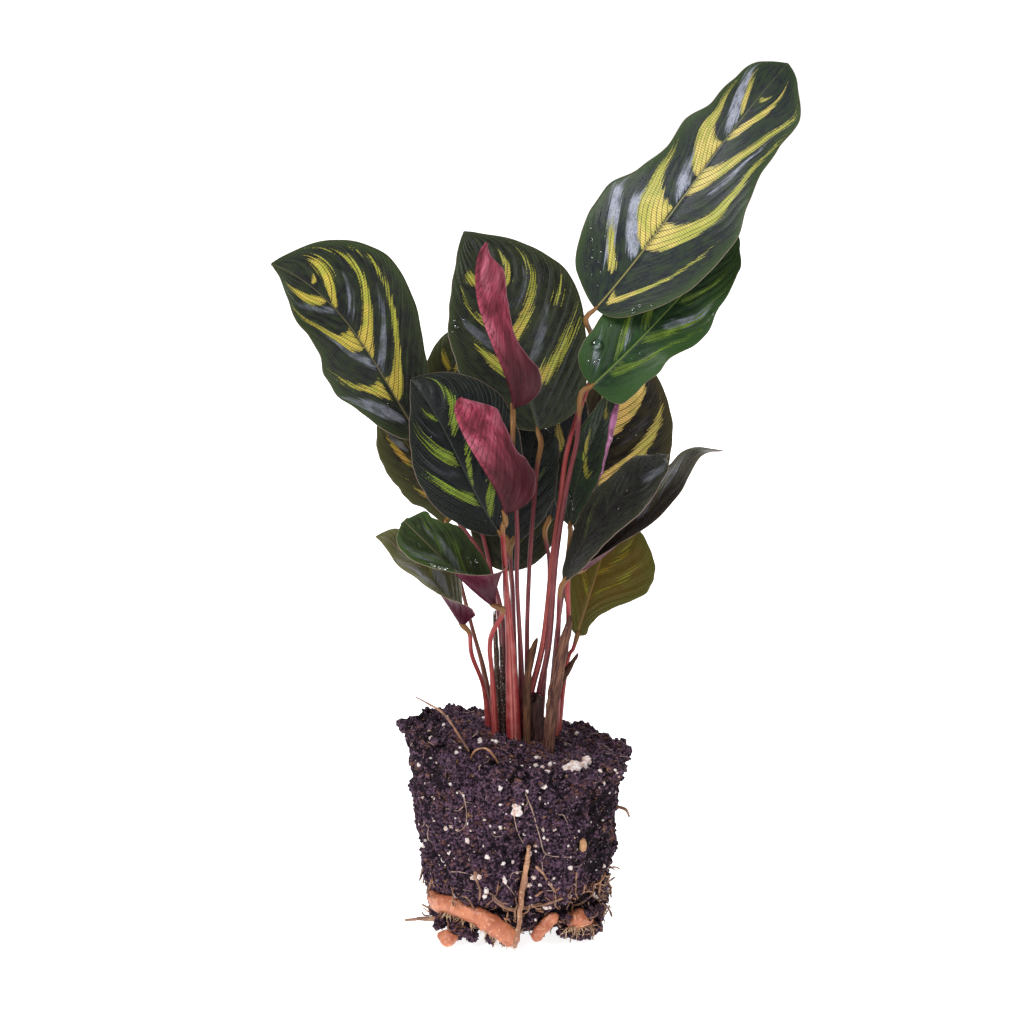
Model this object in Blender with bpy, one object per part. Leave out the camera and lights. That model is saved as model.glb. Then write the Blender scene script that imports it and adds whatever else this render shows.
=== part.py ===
# Young peacock calathea lifted out of its pot, standing on its bare root ball.
# Metres, +Z up. The origin is on the surface it stands on, under the middle of the root ball.
# The front, where the longest leaf leans to the right, looks along -Y.
from math import cos, pi, radians, sin

import bmesh
import bpy
import numpy as np

# Driving dimensions, in millimetres and degrees.
MM = 0.001
BALL_HEIGHT = 95.0            # soil surface above the foot, at the middle
BALL_TOP_RADIUS = 55.5
BALL_BASE_RADIUS = 43.0
BALL_BASE_HEIGHT = 6.0        # where the side turns under
TOP_SLOPE = 0.16              # the soil surface falls towards +X
BALL_BASE_HEIGHT_FRONT = 11.0 # the front hangs clear of the surface by more
FOOT_RADIUS = 22.0            # flat underside that carries the plant
FOOT_Y = 9.0
BUMP = 1.2                    # how far the side of the soil is from a plain cone
MOUND = 3.0                   # rise of the soil round the stalks
MOUND_Y = 8.0
MOUND_SPREAD = 500.0          # square millimetres
DIMPLE = 0.8                  # unevenness of the soil surface
DIMPLE_TURN_X = 0.31          # radians in each millimetre
DIMPLE_TURN_Y = 0.27
SOIL_SIDES = 40
UNDER_SHARES = (0.0, 0.5)     # rings of points from the edge of the foot to the lower edge of the side
SIDE_RINGS = 10
TOP_SHARES = (0.2, 0.45, 0.7) # rings from the rim to the middle of the top
ROOM = 0.38                   # clearance round a piece that is sunk in the soil
BLADE_THICKNESS = 0.8
BLADE_STEPS = 11              # stations along a blade
BLADE_HALF_STEPS = 3          # strips on each side of the midrib
BLADE_FOOT_HALF = 1.3         # a blade is never narrower than this at its stalk
BLADE_TIP_HALF = 0.7
BEND_STEPS = 24               # steps in which the bend across a half blade is summed
STALK_SIDES = 8
STALK_STEPS = 10
STALK_TOP = 1.4               # radius of the swollen joint under a blade
JOINT_GAP = 0.9               # from the end of a stalk to its blade
JOINT_STRAIGHT = 7.0          # the end of a stalk runs in line with its blade for this far
JOINT_SHARE = 0.15            # part of a stalk that the swollen joint takes
JOINT_SWELL = 0.7             # part of the joint in which it reaches its full radius
STALK_ROOM_STEPS = 3          # stations of a stalk that stand in the soil
CROWN_STEPS = 7
CROWN_ROOM_STEPS = 4
ROOT_STEPS = 9
SHARP_ANGLE = 50
WIDTH_STATIONS = (0.1, 0.3, 0.5, 0.7, 0.9)

# Waves round the side of the soil: strength, count, twist from foot to rim, start.
BUMP_WAVES = ((1.0, 3, 5, 1), (0.7, 7, -8, -1), (0.5, 11, 0, 0))
# Dents of a grain, for x, y and z: depth, waves in a radius, shift with the turn of the grain.
GRAIN_DENTS = ((0.10, 5, 3), (0.08, 6, -1), (0.07, 5, 0))

# One entry for each leaf. rib: points along the midrib from the stalk to the tip. face: the way the
# upper side looks. left, right: half widths at WIDTH_STATIONS. fold, curl: for the left and the right
# half, the angle at the midrib and the bend across the half, each near the stalk and near the tip.
# wave: for each half, the height, count and start of the ripples along the margin.
BLADES = {
    "right_top": dict(
        rib=((38, 6, 310), (68, 5, 348), (103, 11, 395), (131, 24, 427)),
        face=(-0.25, -0.85, 0.45), left=(24, 33, 24, 18, 14), right=(21, 35, 34, 24, 18),
        fold=((10, 4), (6, 4)), wave=((3, 1.6, 0.15), (3, 1.5, 0.55))),
    "right_second": dict(
        rib=((36, -6, 274), (61, 2, 297), (84, 12, 320), (108, 30, 343)),
        face=(0.05, -0.9, 0.42), left=(18, 22, 23, 19, 11), right=(17, 18, 21, 15, 9),
        wave=((2, 1.5, 0.2), (4, 2.0, 0.6))),
    "left_top": dict(
        rib=((-47, -4, 248), (-67, -4, 282), (-93, 0, 316), (-119, 6, 332)),
        face=(0.2, -0.85, 0.45), left=(13, 22, 23, 19, 8), right=(13, 26, 34, 35, 18),
        wave=((3, 1.5, 0.2), (3, 1.0, 0.5))),
    "centre_top": dict(
        rib=((10, 0, 251), (2, 12, 279), (-11, 26, 315), (-26, 40, 343)),
        face=(0.1, -0.8, 0.6), left=(19, 30, 30, 23, 10), right=(26, 34, 38, 33, 15),
        fold=((4, 4), (4, 4))),
    "rolled_top": dict(
        rib=((-2, -32, 268), (-10, -42, 298), (-19, -46, 326), (-16, -44, 350)),
        face=(-0.1, 0.95, 0.1), left=(18, 14, 15, 19, 15), right=(12, 14, 15, 17, 12),
        fold=((10, 20), (120, 120)), curl=((40, 40), (10, 10))),
    "rolled_low": dict(
        rib=((-6, -46, 219), (-15, -58, 243), (-26, -62, 263), (-31, -56, 278)),
        face=(-0.1, 0.95, 0.1), left=(22, 20, 21, 22, 19), right=(12, 16, 17, 17, 12),
        fold=((10, 10), (120, 120)), curl=((40, 40), (10, 10))),
    "left_centre": dict(
        rib=((-8, -30, 206), (-22, -34, 231), (-36, -30, 259), (-51, -20, 280)),
        face=(-0.1, -0.9, 0.4), left=(10, 20, 22, 17, 7), right=(17, 27, 32, 31, 17)),
    "left_back_high": dict(
        rib=((-25, 44, 222), (-29, 50, 247), (-32, 58, 271), (-34, 66, 289)),
        face=(0.0, -0.8, 0.6), left=(7, 13, 15, 13, 7), right=(10, 15, 16, 14, 8)),
    "left_back_low": dict(
        rib=((-35, 26, 199), (-44, 32, 220), (-56, 38, 239), (-65, 44, 254)),
        face=(-0.1, -0.8, 0.5), left=(7, 13, 16, 15, 9), right=(8, 13, 15, 15, 9)),
    "low_left_upper": dict(
        rib=((-11, -36, 172), (-25, -48, 187), (-40, -56, 204), (-54, -56, 218)),
        face=(0.0, -0.5, 0.85), left=(17, 17, 15, 18, 15), right=(23, 28, 27, 20, 10),
        fold=((150, 10), (20, 0))),
    "low_left_lower": dict(
        rib=((-26, -20, 158), (-36, -30, 176), (-52, -36, 196), (-68, -34, 205)),
        face=(0.0, -0.5, 0.85), left=(8, 16, 16, 13, 6), right=(16, 24, 23, 18, 9),
        fold=((100, 10), (10, 0))),
    "centre_low": dict(
        rib=((-3, 34, 173), (-3, 42, 192), (-1, 50, 214), (1, 58, 232)),
        face=(0.0, -0.9, 0.4), left=(13, 20, 21, 16, 8), right=(16, 22, 22, 18, 9)),
    "centre_mid": dict(
        rib=((-2, 6, 195), (2, 4, 216), (6, 6, 235), (11, 10, 252)),
        face=(0.0, -0.9, 0.3), left=(8, 13, 14, 13, 8), right=(8, 14, 16, 14, 8)),
    "right_back": dict(
        rib=((37, 48, 185), (42, 56, 220), (49, 64, 249), (60, 74, 278)),
        face=(0.0, -0.85, 0.4), left=(11, 18, 20, 16, 9), right=(13, 27, 33, 29, 15)),
    "right_narrow": dict(
        rib=((26, 4, 203), (29, 2, 224), (37, 4, 246), (46, 12, 268)),
        face=(-0.5, -0.7, 0.3), left=(9, 15, 14, 9, 5), right=(6, 11, 12, 9, 6)),
    "right_dark": dict(
        rib=((23, -22, 181), (36, -32, 208), (54, -38, 231), (70, -30, 245)),
        face=(-0.6, -0.55, 0.65), left=(7, 15, 18, 15, 13), right=(7, 13, 16, 18, 11)),
    "right_far": dict(
        rib=((31, -12, 184), (55, -16, 205), (77, -16, 228), (100, -8, 242)),
        face=(-0.72, -0.3, 0.68), left=(10, 18, 20, 16, 8), right=(14, 22, 24, 18, 8),
        fold=((40, 10), (40, 10))),
    "low_right": dict(
        rib=((30, 14, 145), (37, 22, 166), (43, 32, 183), (49, 44, 200)),
        face=(0.1, -0.85, 0.5), left=(7, 13, 15, 14, 9), right=(5, 14, 26, 26, 16)),
    "centre_back": dict(
        rib=((16, 36, 199), (22, 38, 224), (27, 40, 249), (31, 44, 263)),
        face=(0.0, -0.9, 0.3), left=(6, 11, 12, 11, 6), right=(7, 12, 13, 11, 6)),
}

# One entry for each leaf stalk: points from the soil (or the sheath) to just under the blade, the
# radius at the foot and above its sheathing part, and how much of its length that part takes.
STALKS = {
    "rolled_low": (((-1, -6, 91), (-3, -14, 144), (-5, -26, 177), (-7, -43, 212)), 3.0, 1.2, 0.75),
    "rolled_top": (((3, 1, 91), (2, -6, 137), (0, -20, 180), (0, -36, 211), (-2, -39, 246)),
                   2.0, 1.1, 0.4),
    "centre_top": (((7, 6, 90), (5, -2, 141), (6, -10, 184), (8, -10, 214), (10, -5, 235)),
                   2.0, 1.1, 0.4),
    "left_centre": (((-3, 4, 91), (-4, -6, 142), (-6, -20, 181)), 1.8, 1.1, 0.4),
    "right_top": (((7, -2, 119.6), (13, -6, 147), (17, -9, 188), (21, -9, 218), (24, 3, 238),
                   (30, 14, 257), (37, 16, 277), (37, 15, 293)), 1.6, 1.2, 0.3),
    "right_second": (((11, -3, 119.6), (16, -8, 148), (19, -14, 190), (24, -15, 225), (29, -13, 249)),
                     1.6, 1.2, 0.3),
    "right_narrow": (((16, 10, 89), (19, 5, 140), (22, 3, 166)), 2.0, 1.1, 0.5),
    "right_dark": (((15, 2, 89), (18, -2, 126), (20, -8, 148)), 2.0, 1.2, 0.5),
    "right_far": (((19, 16, 88), (21, 6, 129), (25, -4, 152)), 2.0, 1.2, 0.5),
    "low_right": (((20, 25, 88), (25, 16, 130)), 2.0, 1.0, 0.5),
    "left_top": (((-5, 14, 92), (-6, 6, 139), (-9, 2, 166), (-18, 2, 189), (-29, 2, 206),
                  (-41, 0, 234)), 2.0, 1.2, 0.4),
    "left_back_low": (((-11, 16, 93), (-16, 14, 125), (-22, 18, 147), (-29, 22, 174)), 2.0, 1.0, 0.5),
    "left_back_high": (((-6, 26, 92), (-8, 26, 140), (-12, 32, 169), (-19, 40, 198)), 1.8, 1.0, 0.4),
    "low_left_upper": (((-10, -2, 93), (-12, -10, 128), (-13, -24, 152)), 2.0, 1.2, 0.5),
    "low_left_lower": (((-13, 8, 93), (-16, 2, 120), (-22, -12, 141)), 2.0, 1.1, 0.5),
    "centre_low": (((-1, 26, 91), (-1, 28, 129), (-2, 31, 154)), 1.8, 1.0, 0.4),
    "centre_mid": (((1, 13, 91), (-1, 8, 139), (-2, 8, 169)), 1.8, 1.0, 0.4),
    "right_back": (((17, 34, 88), (23, 38, 126), (30, 44, 156)), 2.0, 1.1, 0.4),
    "centre_back": (((11, 26, 89), (15, 28, 134), (16, 31, 159), (16, 34, 179)), 1.8, 1.0, 0.4),
}

# Withered stems and sheaths that stand in the soil: points and the radius at each.
CROWN = {
    "dead_stem_left": (((-9, 4, 92), (-10, 2, 135), (-11, 0, 160)), (1.6, 1.4, 0.8)),
    "dead_stem_right": (((-6.5, -1, 92), (-7, -4, 129), (-8, -6, 145)), (1.5, 1.2, 0.7)),
    "brown_sheath": (((9, -2, 90), (9, -2, 104), (9, -3, 118.5)), (4.3, 4.2, 3.9)),
    "long_sheath": (((15, -12, 90), (18, -13, 118), (21.5, -13.5, 140), (26, -12, 160)),
                    (2.6, 2.9, 2.8, 1.5)),
    "pointed_scale": (((16, -4, 90), (19, -6, 120), (25, -8, 133), (30, -9, 141)), (1.5, 2.2, 1.6, 0.4)),
    "dry_sheath": (((5, -9, 90), (5, -10, 122), (6, -10, 135), (8, -9, 144), (10, -8, 149)),
                   (1.3, 1.8, 1.6, 1.6, 0.9)),
}

# Roots that lie on, in or beside the soil: points and the radius at each.
ROOTS = {
    "thick_root_left": (((-42, -8, 18), (-38, -22, 18), (-30, -31, 19), (-21, -38, 17),
                         (-9, -43, 11), (1, -44, 4.8)), (3.6, 4.4, 4.7, 4.7, 4.6, 4.2)),
    "thick_root_right": (((8, -42, 4.6), (12, -40, 10), (20, -37, 17)), (3.2, 3.2, 2.6)),
    "front_root": (((6, -49, 56), (4, -46.5, 41), (2, -46.5, 27), (1, -51, 17), (0, -52, 11), (-1, -51.5, 4)),
                   (1.1, 1.6, 1.5, 1.3, 1.1, 1.2)),
    "left_tuber": (((-39, -32, 5), (-34, -36, 4.6), (-29, -37, 5)), (2.6, 4.4, 2.4)),
    "right_tuber": (((24, -34, 12), (30, -31, 12), (37, -26, 11)), (3.6, 5.6, 3.4)),
    "twig_low": (((-38, -12, 6), (-47, -8, 5), (-56, -4, 3)), (1.4, 1.1, 0.6)),
    "twig_high": (((-50, -14, 121), (-43, -18, 118), (-35, -22, 113), (-23, -30, 97)),
                  (0.6, 0.9, 1.0, 1.0)),
    "arched_root": (((-23, -40, 96), (-20, -41, 101), (-14, -43, 102), (-9, -44, 95)),
                    (0.8, 1.0, 1.0, 0.8)),
    "side_rootlet": (((49, -4, 62), (54, -6, 61), (56, -6, 57)), (0.9, 0.8, 0.5)),
}

# White grains of perlite and one bud that stand out of the soil: middle, half sizes and a turn.
GRAINS = {
    "perlite_large": ((28, -39, 91), (6.4, 4.4, 4.6), 0.5),
    "perlite_small": ((34, -30, 93), (2.4, 2.2, 1.9), 1.4),
    "perlite_front": ((0, -52, 75), (2.9, 2.6, 4.2), 0.3),
    "root_bud": ((32, -40, 53), (1.7, 1.9, 3.6), 0.9),
}

COLOURS = {
    "blade": ((0.030, 0.052, 0.030), 0.35),
    "underside": ((0.190, 0.030, 0.050), 0.40),
    "stalk": ((0.230, 0.055, 0.060), 0.45),
    "withered": ((0.060, 0.035, 0.028), 0.70),
    "soil": ((0.014, 0.009, 0.012), 0.95),
    "root": ((0.420, 0.170, 0.080), 0.60),
    "grain": ((0.700, 0.640, 0.560), 0.85),
}


def clear_scene():
    for thing in list(bpy.context.scene.objects):
        bpy.data.objects.remove(thing, do_unlink=True)


def make_material(name):
    colour, roughness = COLOURS[name]
    material = bpy.data.materials.new(name)
    material.use_nodes = True
    shader = material.node_tree.nodes["Principled BSDF"]
    shader.inputs["Base Color"].default_value = (*colour, 1.0)
    shader.inputs["Roughness"].default_value = roughness
    shader.inputs["Metallic"].default_value = 0.0
    return material


def add_solid(name, vertices, faces, material):
    """A smooth-shaded closed mesh from points in millimetres."""
    mesh = bpy.data.meshes.new(name)
    mesh.from_pydata([tuple(float(c) * MM for c in v) for v in vertices], [], faces)
    shape = bmesh.new()
    shape.from_mesh(mesh)
    bmesh.ops.recalc_face_normals(shape, faces=shape.faces)
    shape.to_mesh(mesh)
    shape.free()
    mesh.shade_smooth()
    mesh.set_sharp_from_angle(angle=radians(SHARP_ANGLE))
    mesh.materials.append(material)
    thing = bpy.data.objects.new(name, mesh)
    bpy.context.scene.collection.objects.link(thing)
    return thing


def unit(rows):
    return rows / np.linalg.norm(rows, axis=-1, keepdims=True)


def stations(points):
    """Where each point lies along the chain of straight lines through them, from 0 to 1."""
    steps = np.linalg.norm(np.diff(np.asarray(points, float), axis=0), axis=1)
    along = np.concatenate([[0.0], np.cumsum(steps)])
    return along / along[-1]


def midrib(points, t):
    """A smooth curve through the points, and its direction, at each t."""
    points = np.asarray(points, float)
    place = np.zeros((len(t), 3))
    direction = np.zeros((len(t), 3))
    for axis in range(3):
        rule = np.polyfit(stations(points), points[:, axis], len(points) - 1)
        place[:, axis] = np.polyval(rule, t)
        direction[:, axis] = np.polyval(np.polyder(rule), t)
    return place, unit(direction)


def half_width(widths, t):
    """Round at the stalk and pointed at the tip, with the given half widths in between."""
    def ends(at):
        return at ** 0.5 * (1 - at) ** 0.8
    known = np.array(WIDTH_STATIONS)
    rule = np.polyfit(known, np.array(widths) / ends(known), 4)
    return np.polyval(rule, t) * ends(t)


def blade_surface(leaf, t, v):
    """Points of the middle surface, a row for each t, and a column for each v from -1 to 1."""
    rib, along = midrib(leaf["rib"], t)
    face = np.array(leaf["face"], float)
    up = unit(face - (along @ face)[:, None] * along)
    across = np.cross(along, up)
    steps = (np.arange(BEND_STEPS) + 0.5) / BEND_STEPS
    grid = np.zeros((len(t), len(v), 3))
    for column, part in enumerate(v):
        side = 0 if part < 0 else 1
        widths = leaf["left"] if side == 0 else leaf["right"]
        fold = leaf.get("fold", ((0, 0), (0, 0)))[side]
        curl = leaf.get("curl", ((0, 0), (0, 0)))[side]
        height, count, start = leaf.get("wave", ((0, 1, 0), (0, 1, 0)))[side]
        least = np.where(t < 0.5, BLADE_FOOT_HALF, BLADE_TIP_HALF)
        reach = abs(part) * np.maximum(half_width(widths, t), least)
        near_stalk = (1 - t) ** 2
        fold_here = np.radians(fold[1] + (fold[0] - fold[1]) * near_stalk)
        bend_here = np.radians(curl[1] + (curl[0] - curl[1]) * near_stalk) * reach / max(widths)
        angles = fold_here[:, None] + bend_here[:, None] * steps
        ripple = height * part ** 2 * np.sin(2 * pi * (count * t + start))
        ripple = ripple * np.sin(pi * np.clip(t, 0, 1)) ** 0.5
        out = np.cos(angles).mean(1) * reach - ripple * np.sin(fold_here + bend_here)
        rise = np.sin(angles).mean(1) * reach + ripple * np.cos(fold_here + bend_here)
        sign = -1 if side == 0 else 1
        grid[:, column] = rib + sign * across * out[:, None] + up * rise[:, None]
    return grid


def grid_normals(grid):
    along = np.gradient(grid, axis=0)
    across = np.gradient(grid, axis=1)
    return unit(np.cross(along, across))


def make_blade(name, leaf, material):
    """A leaf blade as one thin solid, with its upper and lower skins joined round the margin."""
    t = np.linspace(0.0, 1.0, BLADE_STEPS)
    v = np.linspace(-1.0, 1.0, 2 * BLADE_HALF_STEPS + 1)
    grid = blade_surface(leaf, t, v)
    half = grid_normals(grid) * BLADE_THICKNESS / 2
    rows, columns = grid.shape[:2]
    vertices = list((grid + half).reshape(-1, 3)) + list((grid - half).reshape(-1, 3))
    skin = rows * columns
    faces = []
    for row in range(rows - 1):
        for column in range(columns - 1):
            corner = row * columns + column
            quad = (corner, corner + 1, corner + columns + 1, corner + columns)
            faces.append(quad)
            faces.append(tuple(skin + i for i in reversed(quad)))
    rim = [row * columns for row in range(rows)]
    rim += [(rows - 1) * columns + column for column in range(1, columns)]
    rim += [row * columns + columns - 1 for row in range(rows - 2, -1, -1)]
    rim += list(range(columns - 2, 0, -1))
    for here, there in zip(rim, rim[1:] + rim[:1]):
        faces.append((here, there, there + skin, here + skin))
    return add_solid(name, vertices, faces, material)


def smooth_path(points, count):
    """Evenly spread points on a rounded curve through the given ones."""
    points = np.asarray(points, float)
    known = stations(points)
    before = 2 * points[0] - points[1]
    after = 2 * points[-1] - points[-2]
    chain = np.vstack([before, points, after])
    path = []
    for at in np.linspace(0, 1, count):
        span = min(int(np.searchsorted(known, at, side="right")) - 1, len(points) - 2)
        u = (at - known[span]) / (known[span + 1] - known[span])
        a, b, c, d = chain[span:span + 4]
        curve = 2 * b + (c - a) * u + (2 * a - 5 * b + 4 * c - d) * u ** 2
        path.append((curve + (3 * b - a - 3 * c + d) * u ** 3) / 2)
    return np.array(path)


def tube_rings(path, radii, sides):
    """Rings of points round a path, with no twist from one ring to the next."""
    along = unit(np.gradient(path, axis=0))
    side = unit(np.cross(along[0], (0.0, 1.0, 0.2)))
    rings = []
    for place, direction, radius in zip(path, along, radii):
        side = unit(side - (side @ direction) * direction)
        other = np.cross(direction, side)
        turn = 2 * pi * np.arange(sides) / sides
        rings.append(place + radius * (np.outer(np.cos(turn), side) + np.outer(np.sin(turn), other)))
    return rings


def make_tube(name, path, radii, material, sides=STALK_SIDES):
    rings = tube_rings(path, radii, sides)
    faces = [tuple(range(sides))]
    for ring in range(len(rings) - 1):
        for i in range(sides):
            here = ring * sides + i
            there = ring * sides + (i + 1) % sides
            faces.append((here, there, there + sides, here + sides))
    last = (len(rings) - 1) * sides
    faces.append(tuple(last + i for i in range(sides)))
    return add_solid(name, np.vstack(rings), faces, material)


def ease(x):
    x = np.clip(x, 0, 1)
    return x * x * (3 - 2 * x)


def stalk_shape(name):
    """The path and radii of a leaf stalk, which ends just under its blade."""
    points, foot, waist, sheathed = STALKS[name]
    rib, along = midrib(BLADES[name]["rib"], np.array([0.0]))
    end = rib[0] - along[0] * JOINT_GAP
    before = rib[0] - along[0] * JOINT_STRAIGHT
    path = smooth_path(list(points) + [tuple(before), tuple(end)], STALK_STEPS)
    s = np.linspace(0, 1, STALK_STEPS)
    radii = waist + (foot - waist) * (1 - ease(s / sheathed))
    radii += (STALK_TOP - waist) * ease((s - 1 + JOINT_SHARE) / (JOINT_SWELL * JOINT_SHARE))
    return path, radii


def lengths_between(points, values, count):
    return np.interp(np.linspace(0, 1, count), stations(points), values)


def soil_top(x, y):
    mound = MOUND * np.exp(-(x ** 2 + (y - MOUND_Y) ** 2) / MOUND_SPREAD)
    dimple = DIMPLE * sin(DIMPLE_TURN_X * x + 1) * cos(DIMPLE_TURN_Y * y)
    return BALL_HEIGHT - TOP_SLOPE * x + mound + dimple


def underside_point(share, turn):
    """From the edge of the foot, at 0, to the lower edge of the side, at 1."""
    radius = FOOT_RADIUS + (BALL_BASE_RADIUS - FOOT_RADIUS) * share
    return radius * cos(turn), radius * sin(turn) + FOOT_Y * (1 - share), base_height(turn) * share


def base_height(turn):
    front = max(0.0, -sin(turn))
    return BALL_BASE_HEIGHT + (BALL_BASE_HEIGHT_FRONT - BALL_BASE_HEIGHT) * front


def bump(share, turn):
    waves = [high * sin(count * turn + twist * share + start) for high, count, twist, start in BUMP_WAVES]
    return BUMP * sum(waves)


def side_point(share, turn):
    """From the lower edge of the side, at 0, to the rim, at 1."""
    radius = BALL_BASE_RADIUS + (BALL_TOP_RADIUS - BALL_BASE_RADIUS) * share + bump(share, turn)
    x, y = radius * cos(turn), radius * sin(turn)
    base = base_height(turn)
    return x, y, base + (soil_top(x, y) - base) * share


def top_point(share, turn):
    """From the rim, at 0, to the middle of the top, at 1."""
    radius = (BALL_TOP_RADIUS + bump(1.0, turn)) * (1 - share)
    x, y = radius * cos(turn), radius * sin(turn)
    return x, y, soil_top(x, y)


def make_soil(material):
    """Rings of points from the foot, up the side and in to the middle of the top."""
    turns = [2 * pi * i / SOIL_SIDES for i in range(SOIL_SIDES)]
    rings = [[underside_point(share, turn) for turn in turns] for share in UNDER_SHARES]
    rings += [[side_point(share, turn) for turn in turns] for share in np.linspace(0, 1, SIDE_RINGS)]
    rings += [[top_point(share, turn) for turn in turns] for share in TOP_SHARES]
    vertices = [point for ring in rings for point in ring] + [(0.0, 0.0, soil_top(0.0, 0.0))]
    faces = [tuple(range(SOIL_SIDES))]
    for ring in range(len(rings) - 1):
        for i in range(SOIL_SIDES):
            here = ring * SOIL_SIDES + i
            there = ring * SOIL_SIDES + (i + 1) % SOIL_SIDES
            faces.append((here, there, there + SOIL_SIDES, here + SOIL_SIDES))
    last = (len(rings) - 1) * SOIL_SIDES
    for i in range(SOIL_SIDES):
        faces.append((last + i, last + (i + 1) % SOIL_SIDES, len(vertices) - 1))
    return add_solid("root_ball", vertices, faces, material)


def make_grain(name, middle, sizes, turn, material, grow=0.0):
    """A pebble-like lump: a small sphere, stretched, turned and dented by a rule."""
    shape = bmesh.new()
    bmesh.ops.create_icosphere(shape, subdivisions=2, radius=1.0)
    vertices = []
    for vertex in shape.verts:
        dents = [deep * sin(count * value + shift * turn)
                 for (deep, count, shift), value in zip(GRAIN_DENTS, vertex.co)]
        x, y, z = ((size * (1 + sum(dents)) + grow) * value for size, value in zip(sizes, vertex.co))
        vertices.append((middle[0] + x * cos(turn) - y * sin(turn),
                         middle[1] + x * sin(turn) + y * cos(turn), middle[2] + z))
    faces = [tuple(v.index for v in face.verts) for face in shape.faces]
    shape.free()
    return add_solid(name, vertices, faces, material)


def cut_from(block, cutter):
    cutter.hide_render = True
    cutter.display_type = "WIRE"
    cut = block.modifiers.new("room for " + cutter.name, "BOOLEAN")
    cut.operation = "DIFFERENCE"
    cut.object = cutter


def add_cutter(soil, name, path, radii, material):
    """Leave room in the soil for a stalk or a root that is sunk into it."""
    path = np.array(path)
    path[0] += unit(path[0] - path[1]) * ROOM
    path[-1] += unit(path[-1] - path[-2]) * ROOM
    cutter = make_tube("room_" + name, path, np.array(radii) + ROOM, material)
    cut_from(soil, cutter)


def main():
    clear_scene()
    finish = {name: make_material(name) for name in COLOURS}
    soil = make_soil(finish["soil"])
    for name, leaf in BLADES.items():
        skin = finish["underside"] if name.startswith("rolled") else finish["blade"]
        make_blade("blade_" + name, leaf, skin)
    for name, (points, foot, waist, sheathed) in STALKS.items():
        path, radii = stalk_shape(name)
        make_tube("stalk_" + name, path, radii, finish["stalk"])
        if points[0][2] < BALL_HEIGHT:
            add_cutter(soil, name, path[:STALK_ROOM_STEPS], radii[:STALK_ROOM_STEPS], finish["soil"])
    for name, (points, radii) in CROWN.items():
        path = smooth_path(points, CROWN_STEPS)
        wide = lengths_between(points, radii, CROWN_STEPS)
        make_tube(name, path, wide, finish["withered"])
        add_cutter(soil, name, path[:CROWN_ROOM_STEPS], wide[:CROWN_ROOM_STEPS], finish["soil"])
    for name, (points, radii) in ROOTS.items():
        path = smooth_path(points, ROOT_STEPS)
        wide = lengths_between(points, radii, ROOT_STEPS)
        make_tube(name, path, wide, finish["root"])
        add_cutter(soil, name, path, wide, finish["soil"])
    for name, (middle, sizes, turn) in GRAINS.items():
        make_grain(name, middle, sizes, turn, finish["grain"])
        room = make_grain("room_" + name, middle, sizes, turn, finish["grain"], grow=ROOM)
        cut_from(soil, room)


main()
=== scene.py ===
# %% [markdown]
# # A young peacock calathea on its bare root ball
# The plant is a tuft of nineteen leaves. Each has a sheathed stalk and one patterned blade, and all
# of them rise from a root ball that kept the taper of its pot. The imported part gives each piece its
# place and size. This lesson grows a finer piece over each of them, in the same frame.

from math import cos, pi, radians, sin

import bmesh
import bpy
import numpy as np
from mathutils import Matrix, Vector
from mathutils.bvhtree import BVHTree


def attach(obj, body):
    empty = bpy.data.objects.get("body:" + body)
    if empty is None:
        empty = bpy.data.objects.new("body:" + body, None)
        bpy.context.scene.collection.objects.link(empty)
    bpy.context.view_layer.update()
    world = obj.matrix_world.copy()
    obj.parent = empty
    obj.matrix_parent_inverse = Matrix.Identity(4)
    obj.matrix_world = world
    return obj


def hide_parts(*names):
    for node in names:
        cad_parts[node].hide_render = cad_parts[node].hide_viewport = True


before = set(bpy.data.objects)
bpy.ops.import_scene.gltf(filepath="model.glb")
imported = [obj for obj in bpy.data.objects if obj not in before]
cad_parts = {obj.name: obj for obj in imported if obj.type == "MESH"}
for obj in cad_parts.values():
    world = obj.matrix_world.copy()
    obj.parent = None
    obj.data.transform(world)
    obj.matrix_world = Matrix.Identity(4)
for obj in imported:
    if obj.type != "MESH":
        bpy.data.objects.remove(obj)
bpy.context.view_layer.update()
MM = 0.001

# %% [markdown]
# ## Camera, floor and light
# The plant stands in a plain white studio and is seen from a little above. The floor is a wide pale
# sheet. A large soft lamp at the upper left gives the real gloss on the leaves, and the blue-grey gloss
# bands are painted highlights in the leaf colours. A weaker lamp at the right opens the shadows, and one
# from behind draws the margins. The sky is white where the camera sees it and dimmer as a light,
# because a gloss leaf in an all-white room looks milky.

# %% Camera
TARGET = np.array((-2.445, 0.0, 210.43)) * MM
CAMERA_DISTANCE = 1.9
CAMERA_HEIGHT_ANGLE = radians(12)
MILLIMETRES_PER_PIXEL = 0.489
IMAGE_WIDTH = 1024
SENSOR = 36.0

camera_data = bpy.data.cameras.new("camera")
camera_data.sensor_width = SENSOR
camera_data.lens = SENSOR * CAMERA_DISTANCE / MM / MILLIMETRES_PER_PIXEL / IMAGE_WIDTH
camera_data.clip_end = 100
camera = bpy.data.objects.new("camera", camera_data)
bpy.context.scene.collection.objects.link(camera)
back = Vector((0, -cos(CAMERA_HEIGHT_ANGLE), sin(CAMERA_HEIGHT_ANGLE)))
camera.location = Vector(TARGET) + back * CAMERA_DISTANCE
CAMERA_PLACE = camera.location / MM
camera.rotation_euler = (-back).to_track_quat("-Z", "Y").to_euler()
bpy.context.scene.camera = camera
bpy.context.scene.view_settings.view_transform = "Standard"
print("lens in mm:", round(camera_data.lens, 1))


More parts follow.
